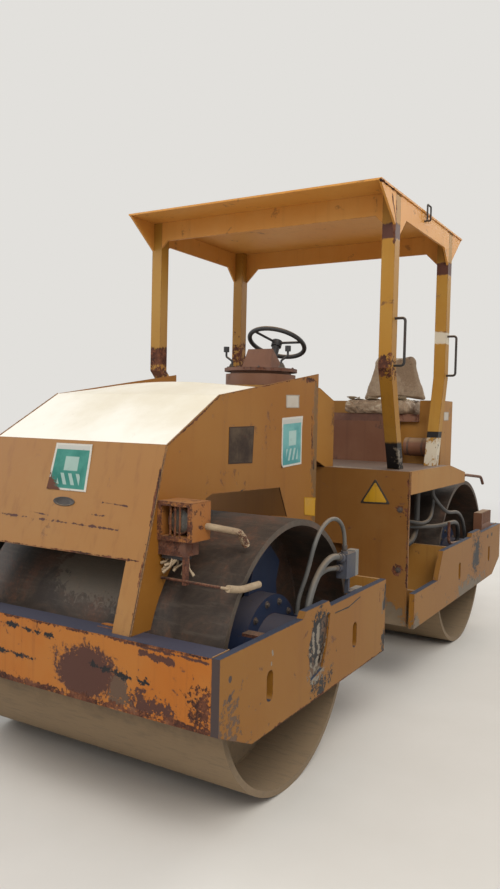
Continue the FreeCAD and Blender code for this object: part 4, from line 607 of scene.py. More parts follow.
    # The wall's darker ochre is painted shade.
    painted(
        "wall", rgb(120, 78, 32), rgb(130, 92, 48), rust=0.12, dust=0.25, wear=0.7, streaks=0.25, low=0.56,
        marks={"rust": [("patch", (0.01, 0.738, 1.021), (0.04, 0.026, 0.03), 2.4),
                        ("patch", (0.01, 0.737, 0.69), (0.04, 0.026, 0.03), 2.4),
                        ("line", (0.01, 0.786, 1.18), (0.01, 0.786, 0.6), 0.005, 6.0)],
               "grey": [("band", (0.0, 0.4, 0.4), (0.06, 0.5, 0.085), 1.6),
                        ("band", (0.0, -0.6, 0.4), (0.06, 0.2, 0.085), 1.6)]},
    )
    painted("ochre", rgb(152, 104, 42), rgb(160, 118, 60), rust=0.14, dust=0.2, wear=0.7, streaks=0.3, low=0.4)
    painted("brown", rgb(104, 66, 46), rgb(120, 84, 62), rust=0.16, dust=0.38, wear=0.6, streaks=0.3,
            low=0.3, under=rgb(64, 44, 36))
    painted(
        "deck", rgb(70, 56, 60), rgb(94, 78, 74), rust=0.3, dust=0.18, wear=0.8, low=0.3,
        marks={"rust": [("line", (-0.004, -0.77, 1.23), (-0.004, 0.77, 1.23), 0.01, 4.0)],
               "debris": [("line", (0.0, 0.1, 1.232), (0.0, 0.75, 1.232), 0.014, 4.0),
                          ("line", (-0.1, 0.05, 1.232), (-0.06, 0.5, 1.232), 0.02, 6.0)]})
    painted(
        "lamp_case", rgb(144, 88, 36), rgb(152, 100, 50), rust=0.66, dust=0.1, wear=1.0, scale=3.2,
        marks={"rust": [("band", (1.802, 0.525, 1.133), (0.009, 0.085, 0.08), 3.0),
                        ("band", (1.802, -0.525, 1.133), (0.009, 0.085, 0.08), 3.0)]})
    worn_steel("rusty", rgb(80, 48, 36), rgb(122, 82, 60), dust=0.3, metal=0.1, rust=0.8, scale=1.8)
    worn_steel("dark", rgb(38, 35, 34), rgb(66, 60, 55), dust=0.45, metal=0.3, rust=0.35)
    worn_steel("casting", rgb(52, 56, 58), rgb(78, 78, 74), dust=0.55, metal=0.2, rust=0.3, scale=1.6)
    painted("blue", rgb(34, 44, 68), rgb(46, 56, 78), rust=0.2, dust=0.1, wear=0.5, low=0.1,
            under=rgb(56, 48, 44))
    worn_steel("bright", rgb(150, 150, 150), rgb(176, 174, 168), dust=0.2, metal=0.9, rough=0.3, rust=0.05)
    worn_steel("bolt", rgb(66, 60, 56), rgb(88, 80, 74), dust=0.2, metal=0.3, rust=0.35, scale=5.0)
    painted("weld", rgb(142, 96, 38), rgb(150, 108, 52), rust=0.3, dust=0.35, wear=0.8, low=0.45, scale=2.0)
    moulded("black", rgb(30, 30, 32), rgb(56, 54, 54))
    moulded("hose", rgb(76, 75, 72), rgb(102, 98, 92), dust=0.25)
    moulded("rubber", rgb(46, 45, 45), rgb(76, 73, 69), dust=0.25)
    seat_vinyl("vinyl")
    drum_steel("front_drum")
    drum_steel("rear_drum")
    pipe_finish("pipes")
    moulded("foam", rgb(196, 182, 156), rgb(160, 140, 114), rough=0.9, dust=0.3)
    moulded("sleeve", rgb(168, 150, 122), rgb(140, 116, 90), dust=0.3)
    split_finish("junction", 0.781, (rgb(62, 64, 74), rgb(84, 80, 78)), (rgb(132, 130, 124), rgb(104, 102, 98)))
    worn_steel("reflector", rgb(118, 114, 106), rgb(146, 140, 128), dust=0.5, metal=0.5, rough=0.35, rust=0.1)
    lens("lens")
    poster("poster_front", 0.5, 0.34, rgb(70, 134, 120), rgb(34, 104, 92))
    poster("poster_side", -0.4, 0.1, rgb(112, 164, 160), rgb(72, 134, 134))
    plain_sign("brown_plate", rgb(44, 31, 24), rgb(54, 39, 30), 0.03, 0.08)
    plain_sign("white_label", rgb(186, 178, 166), rgb(158, 148, 134), 0.08, 0.3)
    plain_sign("yellow_plate", rgb(186, 136, 16), rgb(164, 120, 22), 0.05, 0.08)
    moulded("sign_black", rgb(44, 36, 26), rgb(62, 50, 34), dust=0.3)
    painted("sign_yellow", rgb(182, 136, 24), rgb(168, 128, 44), rust=0.1, dust=0.3, wear=0.3, low=0.2, scale=3.0)
    moulded("dark_oval", rgb(44, 38, 34), rgb(70, 58, 48), dust=0.5)
    worn_steel("scrap", rgb(70, 60, 52), rgb(140, 130, 114), dust=0.2, metal=0.1, rust=0.4, scale=6.0)


FINISHES = {
    "hood_side": ["hood_sides"],
    "hood_front": ["hood_front"],
    "hood_top": ["hood_top"],
    "plate": ["front_side_plates", "rear_side_plates"],
    "beam": ["front_beam", "rear_beam"],
    "canopy": ["canopy_roof", "roof_beams"],
    "posts": ["canopy_front_posts", "canopy_rear_posts"],
    "wall": ["rear_front_wall", "wall_ties", "rear_cross_member"],
    "ochre": ["cowl", "deck_bands", "engine_cover", "engine_cover_legs", "rear_bulkhead", "front_cross_member",
              "side_tank", "tow_lugs"],
    "brown": ["seat_base", "console", "air_cleaner", "cowl_ring", "oil_filter"],
    "deck": ["deck"],
    "lamp_case": ["lamp_guards"],
    "rusty": ["lamp_brackets", "seat_rail", "console_plate", "bay_pipes"],
    "dark": ["engine_rails", "hitch", "hitch_lugs", "barrel_bracket", "steering_barrel", "handle_bars"],
    "blue": ["front_drum_mounts", "rear_drum_mounts"],
    "bright": ["steering_rod"],
    "black": ["steering_wheel", "steering_column", "control_levers"],
    "rubber": ["bay_lines"],
    "pipes": ["front_pipes"],
    "junction": ["hose_junction"],
    "front_drum": ["front_drum"],
    "rear_drum": ["rear_drum"],
}


def dress(thing, material):
    thing.data.materials.clear()
    thing.data.materials.append(material)


def floor_and_light():
    """A plain pale floor that runs into a backdrop of its own colour, and soft light from above and both sides."""
    backdrop, reach = rgb(226, 224, 220), 60.0
    mesh = bpy.data.meshes.new("floor")
    corners = [(-reach, -reach, 0), (reach, -reach, 0), (reach, reach, 0), (-reach, reach, 0)]
    mesh.from_pydata(corners, [], [(0, 1, 2, 3)])
    floor = new_object("floor", mesh)
    graph = new_material("floor")
    at = graph.place()
    graph.finish(graph.mix(graph.noise(at, 3.0, 6.0), rgb(206, 201, 192), rgb(214, 209, 201)), 0.95)
    away = graph.step(graph.vector("LENGTH", graph.vector("MULTIPLY", at, (1.0, 1.0, 0.0))), 3.2, 11.0)
    glow = graph.out("ShaderNodeEmission", {"Color": backdrop, "Strength": 1.0})
    path = graph.node("ShaderNodeLightPath").outputs["Is Camera Ray"]
    far = graph.out("ShaderNodeMixShader", {0: graph.times(away, path), 1: graph.shader.outputs[0], 2: glow})
    graph.put(graph.found("OUTPUT_MATERIAL").inputs["Surface"], far)
    dress(floor, materials["floor"])
    world = scene.world = bpy.data.worlds.new("studio")
    world.use_nodes = True
    graph = Graph(world.node_tree)
    ground = graph.found("BACKGROUND").inputs
    paths = graph.node("ShaderNodeLightPath").outputs
    seen = graph.most(paths["Is Camera Ray"], graph.most(paths["Is Glossy Ray"], paths["Is Transmission Ray"]))
    graph.put(ground["Color"], graph.mix(seen, rgb(222, 226, 232), backdrop))
    graph.put(ground["Strength"], graph.blend(seen, 0.72, 1.0))
    for name, place, size, power, tint in (
        ("key", (5.5, 5.0, 7.0), 4.5, 520.0, (1.0, 0.97, 0.92)),
        ("fill", (3.5, -6.5, 5.0), 5.0, 240.0, (0.94, 0.97, 1.0)),
        ("back", (-7.0, 2.0, 6.5), 5.0, 300.0, (1.0, 0.97, 0.92)),
    ):
        light = bpy.data.lights.new(name, "AREA")
        light.size, light.energy, light.color = size, power, tint
        holder = bpy.data.objects.new(name, light)
        holder.location = place
        holder.rotation_euler = (Vector((0, 0, 1.0)) - Vector(place)).to_track_quat("-Z", "Y").to_euler()
        scene.collection.objects.link(holder)
    scene.view_settings.view_transform = "Standard"


# Shapes

def across(axis):
    """Two directions square to an axis and to each other."""
    first = axis.orthogonal().normalized()
    if abs(axis.z) < 0.99:
        first = axis.cross(Vector((0, 0, 1))).normalized()
    return first, axis.cross(first).normalized()


def ring_of(middle, first, second, radius, count, start=0.0):
    """Evenly spaced places round a middle, in the plane of two directions."""
    angles = [start + math.tau * n / count for n in range(count)]
    return [middle + (first * math.cos(a) + second * math.sin(a)) * radius for a in angles]


def mesh_from(shape, name):
    """The mesh of a finished shape, which is let go."""
    mesh = bpy.data.meshes.new(name)
    shape.to_mesh(mesh)
    shape.free()
    return mesh


def keep_modified(thing):
    """Run a thing's modifiers and keep what they make as its plain mesh."""
    before = thing.data
    made = bpy.data.meshes.new_from_object(thing.evaluated_get(bpy.context.evaluated_depsgraph_get()))
    thing.modifiers.clear()
    thing.data = made
    bpy.data.meshes.remove(before)
    return made


def round_edges(shape, size, segments=2):
    bmesh.ops.bevel(shape, geom=shape.edges[:], offset=size, segments=segments, affect="EDGES", profile=0.5)


def face_rings(mesh, rings, closed=False):
    """Faces between rings of corners; a ring of one corner is a point, and open ends get a cap."""
    pairs = list(zip(rings, rings[1:])) + ([(rings[-1], rings[0])] if closed else [])
    for first, second in pairs:
        count = max(len(first), len(second))
        for n in range(count):
            corners = list(dict.fromkeys((first[n % len(first)], first[(n + 1) % len(first)],
                                          second[(n + 1) % len(second)], second[n % len(second)])))
            if len(corners) > 2:
                mesh.faces.new(corners)
    if not closed:
        for ring in (rings[0], rings[-1]):
            if len(ring) > 2:
                mesh.faces.new(ring)


class Maker:
    """Collects rounded solids in one mesh, which becomes a piece."""

    def __init__(self):
        self.mesh = bmesh.new()

    def add(self, part):
        bmesh.ops.recalc_face_normals(part, faces=part.faces)
        carrier = mesh_from(part, "part")
        self.mesh.from_mesh(carrier)
        bpy.data.meshes.remove(carrier)

    def block(self, low, high, edge=0.003, turn=None, about=None):
        """A box with rounded edges, turned about its centre or another place."""
        part = bmesh.new()
        low, high = Vector(low), Vector(high)
        bmesh.ops.create_cube(part, size=1.0)
        for corner in part.verts:
            corner.co = Vector((low + high) / 2 + Vector([corner.co[n] * (high[n] - low[n]) for n in range(3)]))
        if edge:
            round_edges(part, edge)
        if turn:
            bmesh.ops.rotate(part, verts=part.verts, cent=Vector(about or (low + high) / 2), matrix=turn)
        self.add(part)

    def turned(self, profile, centre, axis, count=32, closed=False):
        """A profile of (along, radius) turned about an axis through centre."""
        part = bmesh.new()
        centre, axis = Vector(centre), Vector(axis).normalized()
        first, second = across(axis)
        rings = []
        for along, radius in profile:
            middle = centre + axis * along
            places = ring_of(middle, first, second, radius, count) if radius else [middle]
            rings.append([part.verts.new(place) for place in places])
        face_rings(part, rings, closed)
        self.add(part)

    def rod(self, points, radius, count=10, closed=False):
        """A round bar along points, mitred where it turns."""
        part = bmesh.new()
        points = [Vector(p) for p in points]
        size = len(points)
        rings, first = [], None
        for n, point in enumerate(points):
            before = points[n - 1] if n or closed else point
            after = points[(n + 1) % size] if n < size - 1 or closed else point
            way = (after - before).normalized()
            first = across(way)[0] if first is None else (first - way * first.dot(way)).normalized()
            second = way.cross(first)
            rings.append([part.verts.new(place) for place in ring_of(point, first, second, radius, count)])
        face_rings(part, rings, closed)
        self.add(part)

    def prism(self, outline, axis, low, high, edge=0.0):
        """A flat outline pushed along axis 0, 1 or 2; its points give the other two places in order."""
        part = bmesh.new()
        rings = []
        for level in (low, high):
            ring = []
            for first, second in outline:
                place = [first, second]
                place.insert(axis, level)
                ring.append(part.verts.new(place))
            rings.append(ring)
        face_rings(part, rings)
        if edge:
            round_edges(part, edge)
        self.add(part)

    def piece(self, name, finish, body, slot, smooth=38):
        return settle(new_object(name, mesh_from(self.mesh, name)), finish, body, smooth)


def settle(thing, finish, body, smooth=38):
    """Give a finished piece its material, shading and body."""
    mesh = thing.data
    if thing.type == "MESH":
        mesh.polygons.foreach_set("use_smooth", [True] * len(mesh.polygons))
        mesh.set_sharp_from_angle(angle=math.radians(smooth))
    dress(thing, materials[finish])
    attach(thing, body)
    return thing


# What repeats, by Geometry Nodes

def new_tree(name, inputs):
    """A geometry tree with named inputs: numbers, and the material."""
    tree = bpy.data.node_groups.new(name, "GeometryNodeTree")
    tree.interface.new_socket("Geometry", in_out="INPUT", socket_type="NodeSocketGeometry")
    for label, value in inputs.items():
        kind = "NodeSocketFloat" if isinstance(value, float) else "NodeSocketInt"
        tree.interface.new_socket(label, in_out="INPUT", socket_type=kind).default_value = value
    tree.interface.new_socket("Material", in_out="INPUT", socket_type="NodeSocketMaterial")
    tree.interface.new_socket("Geometry", in_out="OUTPUT", socket_type="NodeSocketGeometry")
    graph = Graph(tree)
    return graph, graph.node("NodeGroupInput").outputs, graph.node("NodeGroupOutput").inputs


def three(graph, x=0.0, y=0.0, z=0.0):
    return graph.out("ShaderNodeCombineXYZ", {0: x, 1: y, 2: z})


def facing_turn(graph):
    """The turn that stands a shape on its point's facing."""
    facing = graph.out("GeometryNodeInputNamedAttribute", {"Name": "facing"}, data_type="FLOAT_VECTOR")
    return graph.out("FunctionNodeAlignRotationToVector", {"Vector": facing}, axis="Z")


def random_value(graph, low, high, seed):
    return graph.node("FunctionNodeRandomValue", {2: low, 3: high, "Seed": seed}, data_type="FLOAT").outputs[1]


def stand(graph, given, taken, shape, turn, points=None, **more):
    """Stand a shape on each point, all as one mesh of the given material; the finished tree."""
    inputs = {"Points": points or given["Geometry"], "Instance": shape, "Rotation": turn, **more}
    placed = graph.out("GeometryNodeInstanceOnPoints", inputs)
    real = graph.out("GeometryNodeRealizeInstances", {"Geometry": placed})
    dressed = graph.out("GeometryNodeSetMaterial", {"Geometry": real, "Material": given["Material"]})
    graph.put(taken["Geometry"], dressed)
    return graph.tree


def bolt_tree():
    """A hexagon head on a washer with a stub of thread, on each point, each turned by chance."""
    graph, given, taken = new_tree("Bolt heads", {"Radius": 0.009, "Height": 0.007, "Seed": 3})
    whole = graph.node("GeometryNodeJoinGeometry")
    for count, wide, low, tall in ((16, 1.6, -0.05, 0.3), (6, 1.0, 0.2, 1.0), (10, 0.5, 1.1, 0.4)):
        made = graph.out("GeometryNodeMeshCylinder", {
            "Vertices": count, "Radius": graph.times(given["Radius"], wide),
            "Depth": graph.times(given["Height"], tall)})
        lift = three(graph, z=graph.times(given["Height"], low + tall / 2))
        graph.put(whole.inputs[0], graph.out("GeometryNodeTransform", {"Geometry": made, "Translation": lift}))
    chance = three(graph, z=random_value(graph, 0.0, 6.28, given["Seed"]))
    spin = graph.out("FunctionNodeEulerToRotation", {0: chance})
    turn = graph.out("FunctionNodeRotateRotation", {0: facing_turn(graph), 1: spin}, rotation_space="LOCAL")
    return stand(graph, given, taken, whole.outputs[0], turn)


def weld_tree():
    """A row of overlapping beads along each run of edges."""
    graph, given, taken = new_tree("Weld bead", {"Radius": 0.004, "Spacing": 0.0045, "Seed": 5})
    run = graph.out("GeometryNodeMeshToCurve", {"Mesh": given["Geometry"]})
    row = graph.node("GeometryNodeCurveToPoints", {"Curve": run, "Length": given["Spacing"]}, mode="LENGTH").outputs
    bead = graph.out("GeometryNodeMeshIcoSphere", {"Radius": given["Radius"], "Subdivisions": 2})
    size = random_value(graph, 0.8, 1.2, given["Seed"])
    return stand(graph, given, taken, bead, row["Rotation"], row["Points"], Scale=size)


def ring_tree():
    """A round ring on each point, square to its facing."""
    graph, given, taken = new_tree("Rings", {"Radius": 0.02, "Wire": 0.002})
    loop, wire = (
        graph.out("GeometryNodeCurvePrimitiveCircle", {"Resolution": count, "Radius": given[radius]}, mode="RADIUS")
        for count, radius in ((40, "Radius"), (8, "Wire")))
    ring = graph.out("GeometryNodeCurveToMesh", {"Curve": loop, "Profile Curve": wire})
    return stand(graph, given, taken, ring, facing_turn(graph))


def slat_tree():
    """A tilted slat on each point, its length along the machine."""
    graph, given, taken = new_tree("Slats", {"Length": 0.3, "Depth": 0.02, "Sheet": 0.002, "Tilt": 0.7})
    slat = graph.out("GeometryNodeMeshCube", {"Size": three(graph, given["Length"], given["Depth"], given["Sheet"])})
    leant = graph.out("GeometryNodeTransform", {"Geometry": slat, "Rotation": three(graph, given["Tilt"])})
    return stand(graph, given, taken, leant, facing_turn(graph))


def grown(name, tree, points, facings, values, finish, body, edges=()):
    """Run a tree on points with facings, and keep the result as one plain mesh."""
    mesh = bpy.data.meshes.new(name + "_points")
    mesh.from_pydata([tuple(p) for p in points], list(edges), [])
    if facings:
        marks = mesh.attributes.new("facing", "FLOAT_VECTOR", "POINT")
        marks.data.foreach_set("vector", [c for facing in facings for c in facing])
    thing = new_object(name, mesh)
    modifier = thing.modifiers.new("made", "NODES")
    modifier.node_group = tree
    sockets = {item.name: item.identifier for item in tree.interface.items_tree if item.in_out == "INPUT"}
    for label, value in values.items():
        modifier[sockets[label]] = value
    modifier[sockets["Material"]] = materials[finish]
    keep_modified(thing)
    return settle(thing, finish, body, 30)


def circle(centre, axis, radius, count, start=0.0):
    """Evenly spaced points round an axis."""
    return ring_of(Vector(centre), *across(Vector(axis).normalized()), radius, count, start)


# Hoses on the front frame

HOSES = {
    "feed_hose": (0.028, 0.414, [
        (0.905, 0.78, 0.899), (0.96, 0.78, 0.914), (1.025, 0.779, 0.908), (1.09, 0.778, 0.88),
        (1.143, 0.777, 0.838), (1.179, 0.776, 0.79), (1.198, 0.775, 0.748), (1.205, 0.775, 0.722),
        (1.205, 0.775, 0.7)]),
    "drain_hose": (0.018, 0.727, [
        (0.865, 0.785, 0.925), (0.868, 0.786, 0.978), (0.893, 0.787, 1.033), (0.945, 0.788, 1.072),
        (1.015, 0.788, 1.086), (1.085, 0.787, 1.071), (1.14, 0.783, 1.03), (1.168, 0.775, 0.972),
        (1.178, 0.765, 0.91), (1.184, 0.752, 0.852), (1.192, 0.736, 0.797), (1.198, 0.725, 0.746),
        (1.198, 0.725, 0.7)]),
    "return_hose": (0.022, 0.35, [
        (0.903, 0.77, 0.85), (0.955, 0.766, 0.857), (1.01, 0.762, 0.859), (1.061, 0.757, 0.848),
        (1.104, 0.752, 0.819), (1.133, 0.747, 0.776), (1.144, 0.742, 0.725), (1.144, 0.742, 0.69)]),
}


def hoses():
    """The three hoses from the junction down to the front drum's motor, each with its crimped end."""
    ends = Maker()
    for name, (diameter, length, points) in HOSES.items():
        curve = bpy.data.curves.new(name, "CURVE")
        curve.dimensions = "3D"
        curve.bevel_depth = diameter / 2
        curve.bevel_resolution = 5
        curve.resolution_u = 16
        curve.use_fill_caps = True
        spline = curve.splines.new("NURBS")
        spline.points.add(len(points) - 1)
        for point, place in zip(spline.points, points):
            point.co = (*place, 1.0)
        spline.order_u = 3
        spline.use_endpoint_u = True
        hose = new_object(name + "_run", curve)
        curve.materials.append(materials["hose"])
        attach(hose, "front_frame")
        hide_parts(name)
        start, way = Vector(points[0]), (Vector(points[1]) - Vector(points[0])).normalized()
        r = diameter / 2
        ends.turned([(-0.02, 0), (-0.02, r + 0.004), (-0.008, r + 0.004), (-0.006, r + 0.001), (0.002, r + 0.001),
                     (0.004, r + 0.003), (0.024, r + 0.003), (0.027, r + 0.001), (0.027, 0)], start, way, 12)
    ends.piece("hose_ends", "bolt", "front_frame", "bright_steel")


# Seat

def puffed(name, node, outlines, seed, rumple):
    """A stuffed piece between two outlines, swollen by cloth pressure and kept inside its node's space."""
    low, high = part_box(node)
    most, frames = 0.022, 20
    shape = bmesh.new()
    face_rings(shape, [[shape.verts.new(p) for p in ring] for ring in outlines])
    bmesh.ops.recalc_face_normals(shape, faces=shape.faces)
    round_edges(shape, 0.018, 4)
    thing = new_object(name, mesh_from(shape, name))
    remesh = thing.modifiers.new("remesh", "REMESH")
    remesh.mode, remesh.voxel_size, remesh.use_smooth_shade = "VOXEL", 0.006, True
    even = keep_modified(thing)
    start = [v.co.copy() for v in even.vertices]
    cloth = thing.modifiers.new("cloth", "CLOTH")
    cloth.settings.use_pressure = True
    cloth.settings.uniform_pressure_force = 4.0
    cloth.settings.effector_weights.gravity = 0.0
    cloth.settings.quality = 4
    cloth.point_cache.frame_start, cloth.point_cache.frame_end = 1, frames
    for step in range(1, frames + 1):
        scene.frame_set(step)
    swollen = thing.evaluated_get(bpy.context.evaluated_depsgraph_get()).data
    ends = [v.co.copy() for v in swollen.vertices]
    thing.modifiers.clear()
    scene.frame_set(1)
    for vertex, begin, end in zip(even.vertices, start, ends):
        move = end - begin
        vertex.co = begin + move * min(1.0, most / max(move.length, 1e-9))
    for vertex in even.vertices:
        place = vertex.co
        wide = noise.fractal(place * 9.0 + Vector((seed, 0, 0)), 0.8, 2.2, 4)
        fine = noise.ridged_multi_fractal(place * 26.0 + Vector((0, seed, 0)), 0.9, 2.1, 3, 1.0, 2.0)
        vertex.co = place + vertex.normal * (wide * 0.007 - max(0.0, fine - 1.1) * 0.004) * rumple
        vertex.co = Vector([min(max(vertex.co[n], low[n] + 0.001), high[n] - 0.001) for n in range(3)])
    finer = thing.modifiers.new("finer", "SUBSURF")
    finer.levels = finer.render_levels = 1
    keep_modified(thing)
    settle(thing, "vinyl", "rear_frame", 180)
    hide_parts(node)


def torn_cover():
    """The rags of the cushion's cover: a creased sheet laid on it, ragged at its edges and curled up at the front."""
    width, length, cells = 0.36, 0.42, 46
    low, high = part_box("seat_cushion")
    shape = bmesh.new()
    rows = []
    for i in range(cells + 1):
        row = []
        for j in range(cells + 1):
            u, v = i / cells, j / cells
            x, y = low[0] + 0.035 + u * width, low[1] + 0.032 + v * length
            place = Vector((x, y, 0.0))
            fold = noise.fractal(place * 11.0, 0.9, 2.1, 4)
            crease = abs(noise.noise(place * 17.0 + Vector((4, 0, 0))))
            lip = max(0.0, u - 0.86) ** 1.5 * 0.35 * (1.0 + noise.noise(place * 14.0))
            z = high[2] - 0.001 + abs(fold) * 0.009 + crease * 0.006 + lip
            row.append(shape.verts.new((x + noise.noise(place * 23.0) * 0.004, y, min(z, high[2] + 0.036))))
        rows.append(row)
    for i in range(cells):
        for j in range(cells):
            u, v = (i + 0.5) / cells, (j + 0.5) / cells
            ragged = noise.fractal(Vector((u * 5.0, v * 5.0, 2.0)), 0.8, 2.2, 4) * 0.16
            if min(u, 1 - u, v, 1 - v) + ragged > 0.035 and noise.noise(Vector((u * 6.0, v * 6.0, 9.0))) < 0.34:
                shape.faces.new((rows[i][j], rows[i + 1][j], rows[i + 1][j + 1], rows[i][j + 1]))
    bmesh.ops.delete(shape, geom=[v for v in shape.verts if not v.link_faces], context="VERTS")
    area = sum(face.calc_area() for face in shape.faces)
    thing = new_object("torn_cover", mesh_from(shape, "torn_cover"))
    wall = thing.modifiers.new("wall", "SOLIDIFY")
    wall.thickness, wall.offset = 0.0016, 1.0
    keep_modified(thing)
    settle(thing, "foam", "rear_frame", 60)


def seat_pads():
    """The torn cushion and the back that leans and narrows upwards."""
    low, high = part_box("seat_cushion")
    x0, x1, y0, y1 = low[0] + 0.015, high[0] - 0.01, low[1] + 0.01, high[1] - 0.01
    floor, crown = low[2] + 0.003, high[2] - 0.014
    corners = ((x0, y0), (x1, y0), (x1, y1), (x0, y1))
    puffed("cushion_pad", "seat_cushion", [[(x, y, z) for x, y in corners] for z in (floor, crown)], 3.0, 1.6)
    low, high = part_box("seat_back")
    x0, x1 = low[0] + 0.01, high[0] - 0.012
    foot, head = low[2] + 0.004, high[2] - 0.006
    side = [(0.038, foot), (0.502, foot), (0.484, foot + 0.1), (0.425, head - 0.03), (0.4, head), (0.14, head),
            (0.115, head - 0.03), (0.056, foot + 0.1)]
    puffed("back_pad", "seat_back", [[(x, y, z) for y, z in side] for x in (x0, x1)], 8.0, 0.35)
    torn_cover()


# Signs

def plate(name, corners, thick, finish, body, away, ripple, curl):
    """A thin sheet on four corners, lower left first as it is read, proud along away, with its own coordinates."""
    low_left, low_right, high_right, high_left = (Vector(c) for c in corners)
    away = Vector(away).normalized()
    shape = bmesh.new()
    grid = shape.loops.layers.uv.new("UVMap")
    columns, rows = 14, 18
    layers = []
    for lift in (thick, -0.0002):
        layer = []
        for row in range(rows + 1):
            v = row / rows
            line = []
            for column in range(columns + 1):
                u = column / columns
                place = low_left.lerp(low_right, u).lerp(high_left.lerp(high_right, u), v)
                wave = abs(noise.noise(place * 18.0)) * ripple if lift > 0 else 0.0
                corner = max(0.0, u + v - 1.72) ** 1.6 * curl + max(0.0, 0.22 - u - v) ** 1.6 * curl
                line.append((shape.verts.new(place + away * (lift + wave + corner)), u, v))
            layer.append(line)
        layers.append(layer)

    def quad(first, second, third, fourth):
        face = shape.faces.new([c[0] for c in (first, second, third, fourth)])
        for loop, corner in zip(face.loops, (first, second, third, fourth)):
            loop[grid].uv = corner[1:]

    for layer, order in zip(layers, (1, -1)):
        for row in range(rows):
            for column in range(columns):
                quad(*(layer[row][column], layer[row][column + 1],
                       layer[row + 1][column + 1], layer[row + 1][column])[::order])
    upper, lower = layers
    for row in range(rows):
        quad(upper[row][columns], lower[row][columns], lower[row + 1][columns], upper[row + 1][columns])
        quad(upper[row + 1][0], lower[row + 1][0], lower[row][0], upper[row][0])
    for column in range(columns):
        quad(upper[0][column], lower[0][column], lower[0][column + 1], upper[0][column + 1])
        quad(upper[rows][column + 1], lower[rows][column + 1], lower[rows][column], upper[rows][column])
    bmesh.ops.recalc_face_normals(shape, faces=shape.faces)
    settle(new_object(name, mesh_from(shape, name)), finish, body, 30)


def signs():
    """Blank plates and labels, two plain posters and the triangle."""
    y = HOOD
    left = (0, 1, 0)
    lean = Vector((1.0, 0.0, (1.939 - 1.746) / (1.405 - 0.736)))
    paint, primer = "ochre_paint", "brown_primer"
    for name, corners, thick, finish, body, slot, away, ripple, curl in (
        ("front_poster",
         [(1.8035, -0.1, 1.209), (1.803, 0.106, 1.209), (1.7505, 0.092, 1.391), (1.7505, -0.101, 1.391)],
         0.0012, "poster_front", "front_frame", paint, lean, 0.0008, 0.02),
        ("side_poster", [(0.859, y, 1.276), (0.653, y, 1.286), (0.655, y, 1.522), (0.862, y, 1.51)],
         0.0012, "poster_side", "front_frame", paint, left, 0.0008, 0.03),
        ("number_plate", [(1.325, y, 1.315), (1.129, y, 1.311), (1.119, y, 1.473), (1.324, y, 1.469)],
         0.0015, "brown_plate", "front_frame", primer, left, 0.0003, 0.0),
        ("white_label", [(0.825, y, 1.558), (0.69, y, 1.56), (0.694, y, 1.623), (0.828, y, 1.619)],
         0.0008, "white_label", "front_frame", paint, left, 0.0004, 0.02),
        ("yellow_plate", [(0.605, y, 1.029), (0.483, y, 1.01), (0.483, y, 1.106), (0.61, y, 1.119)],
         0.0012, "yellow_plate", "front_frame", paint, left, 0.0004, 0.02),
        ("tank_label", [(-0.88, 0.7, 1.512), (-0.985, 0.7, 1.514), (-0.985, 0.7, 1.57), (-0.88, 0.7, 1.568)],
         0.0008, "white_label", "rear_frame", paint, left, 0.0004, 0.02),
    ):
        plate(name, corners, thick, finish, body, away, ripple, curl)
    x = 0.01
    apex, base_left, base_right = Vector((x, 0.59, 1.184)), Vector((x, 0.681, 1.046)), Vector((x, 0.501, 1.04))
    middle = (apex + base_left + base_right) / 3
    for name, share, lift, finish in (
        ("triangle_rim", 1.0, 0.0014, "sign_black"), ("triangle_face", 0.8, 0.002, "sign_yellow"),
    ):
        outline = []
        for corner in (apex, base_left, base_right):
            tip = middle + (corner - middle) * share
            for other in (apex, base_left, base_right):
                if other is not corner:
                    outline.append(tip + (middle + (other - middle) * share - tip).normalized() * 0.008)
        ring = sorted(outline, key=lambda p: math.atan2(p.z - middle.z, p.y - middle.y))
        sign = Maker()
        sign.prism([(p.y, p.z) for p in ring], 0, x - 0.0002, x + lift, 0.0004)
        sign.piece(name, finish, "rear_frame", "ochre_paint")
    badge = Maker()
    centre, count = Vector((1.8155, 0.005, 1.167)), 36
    outward = lean.normalized()
    up = Vector((0, 1, 0)).cross(outward).normalized()
    shape = bmesh.new()
    rings = []
    for size, lift in ((1.0, -0.0002), (1.0, 0.0016), (0.86, 0.002), (0.8, 0.0008)):
        rings.append([
            shape.verts.new(centre + outward * lift + Vector((0, 1, 0)) * math.cos(math.tau * n / count) * 0.056 * size
                            + up * math.sin(math.tau * n / count) * 0.018 * size)
            for n in range(count)
        ])
    face_rings(shape, rings)
    badge.add(shape)
    badge.piece("blank_badge", "dark_oval", "front_frame", "black_plastic")


# Lamps and what hangs by them

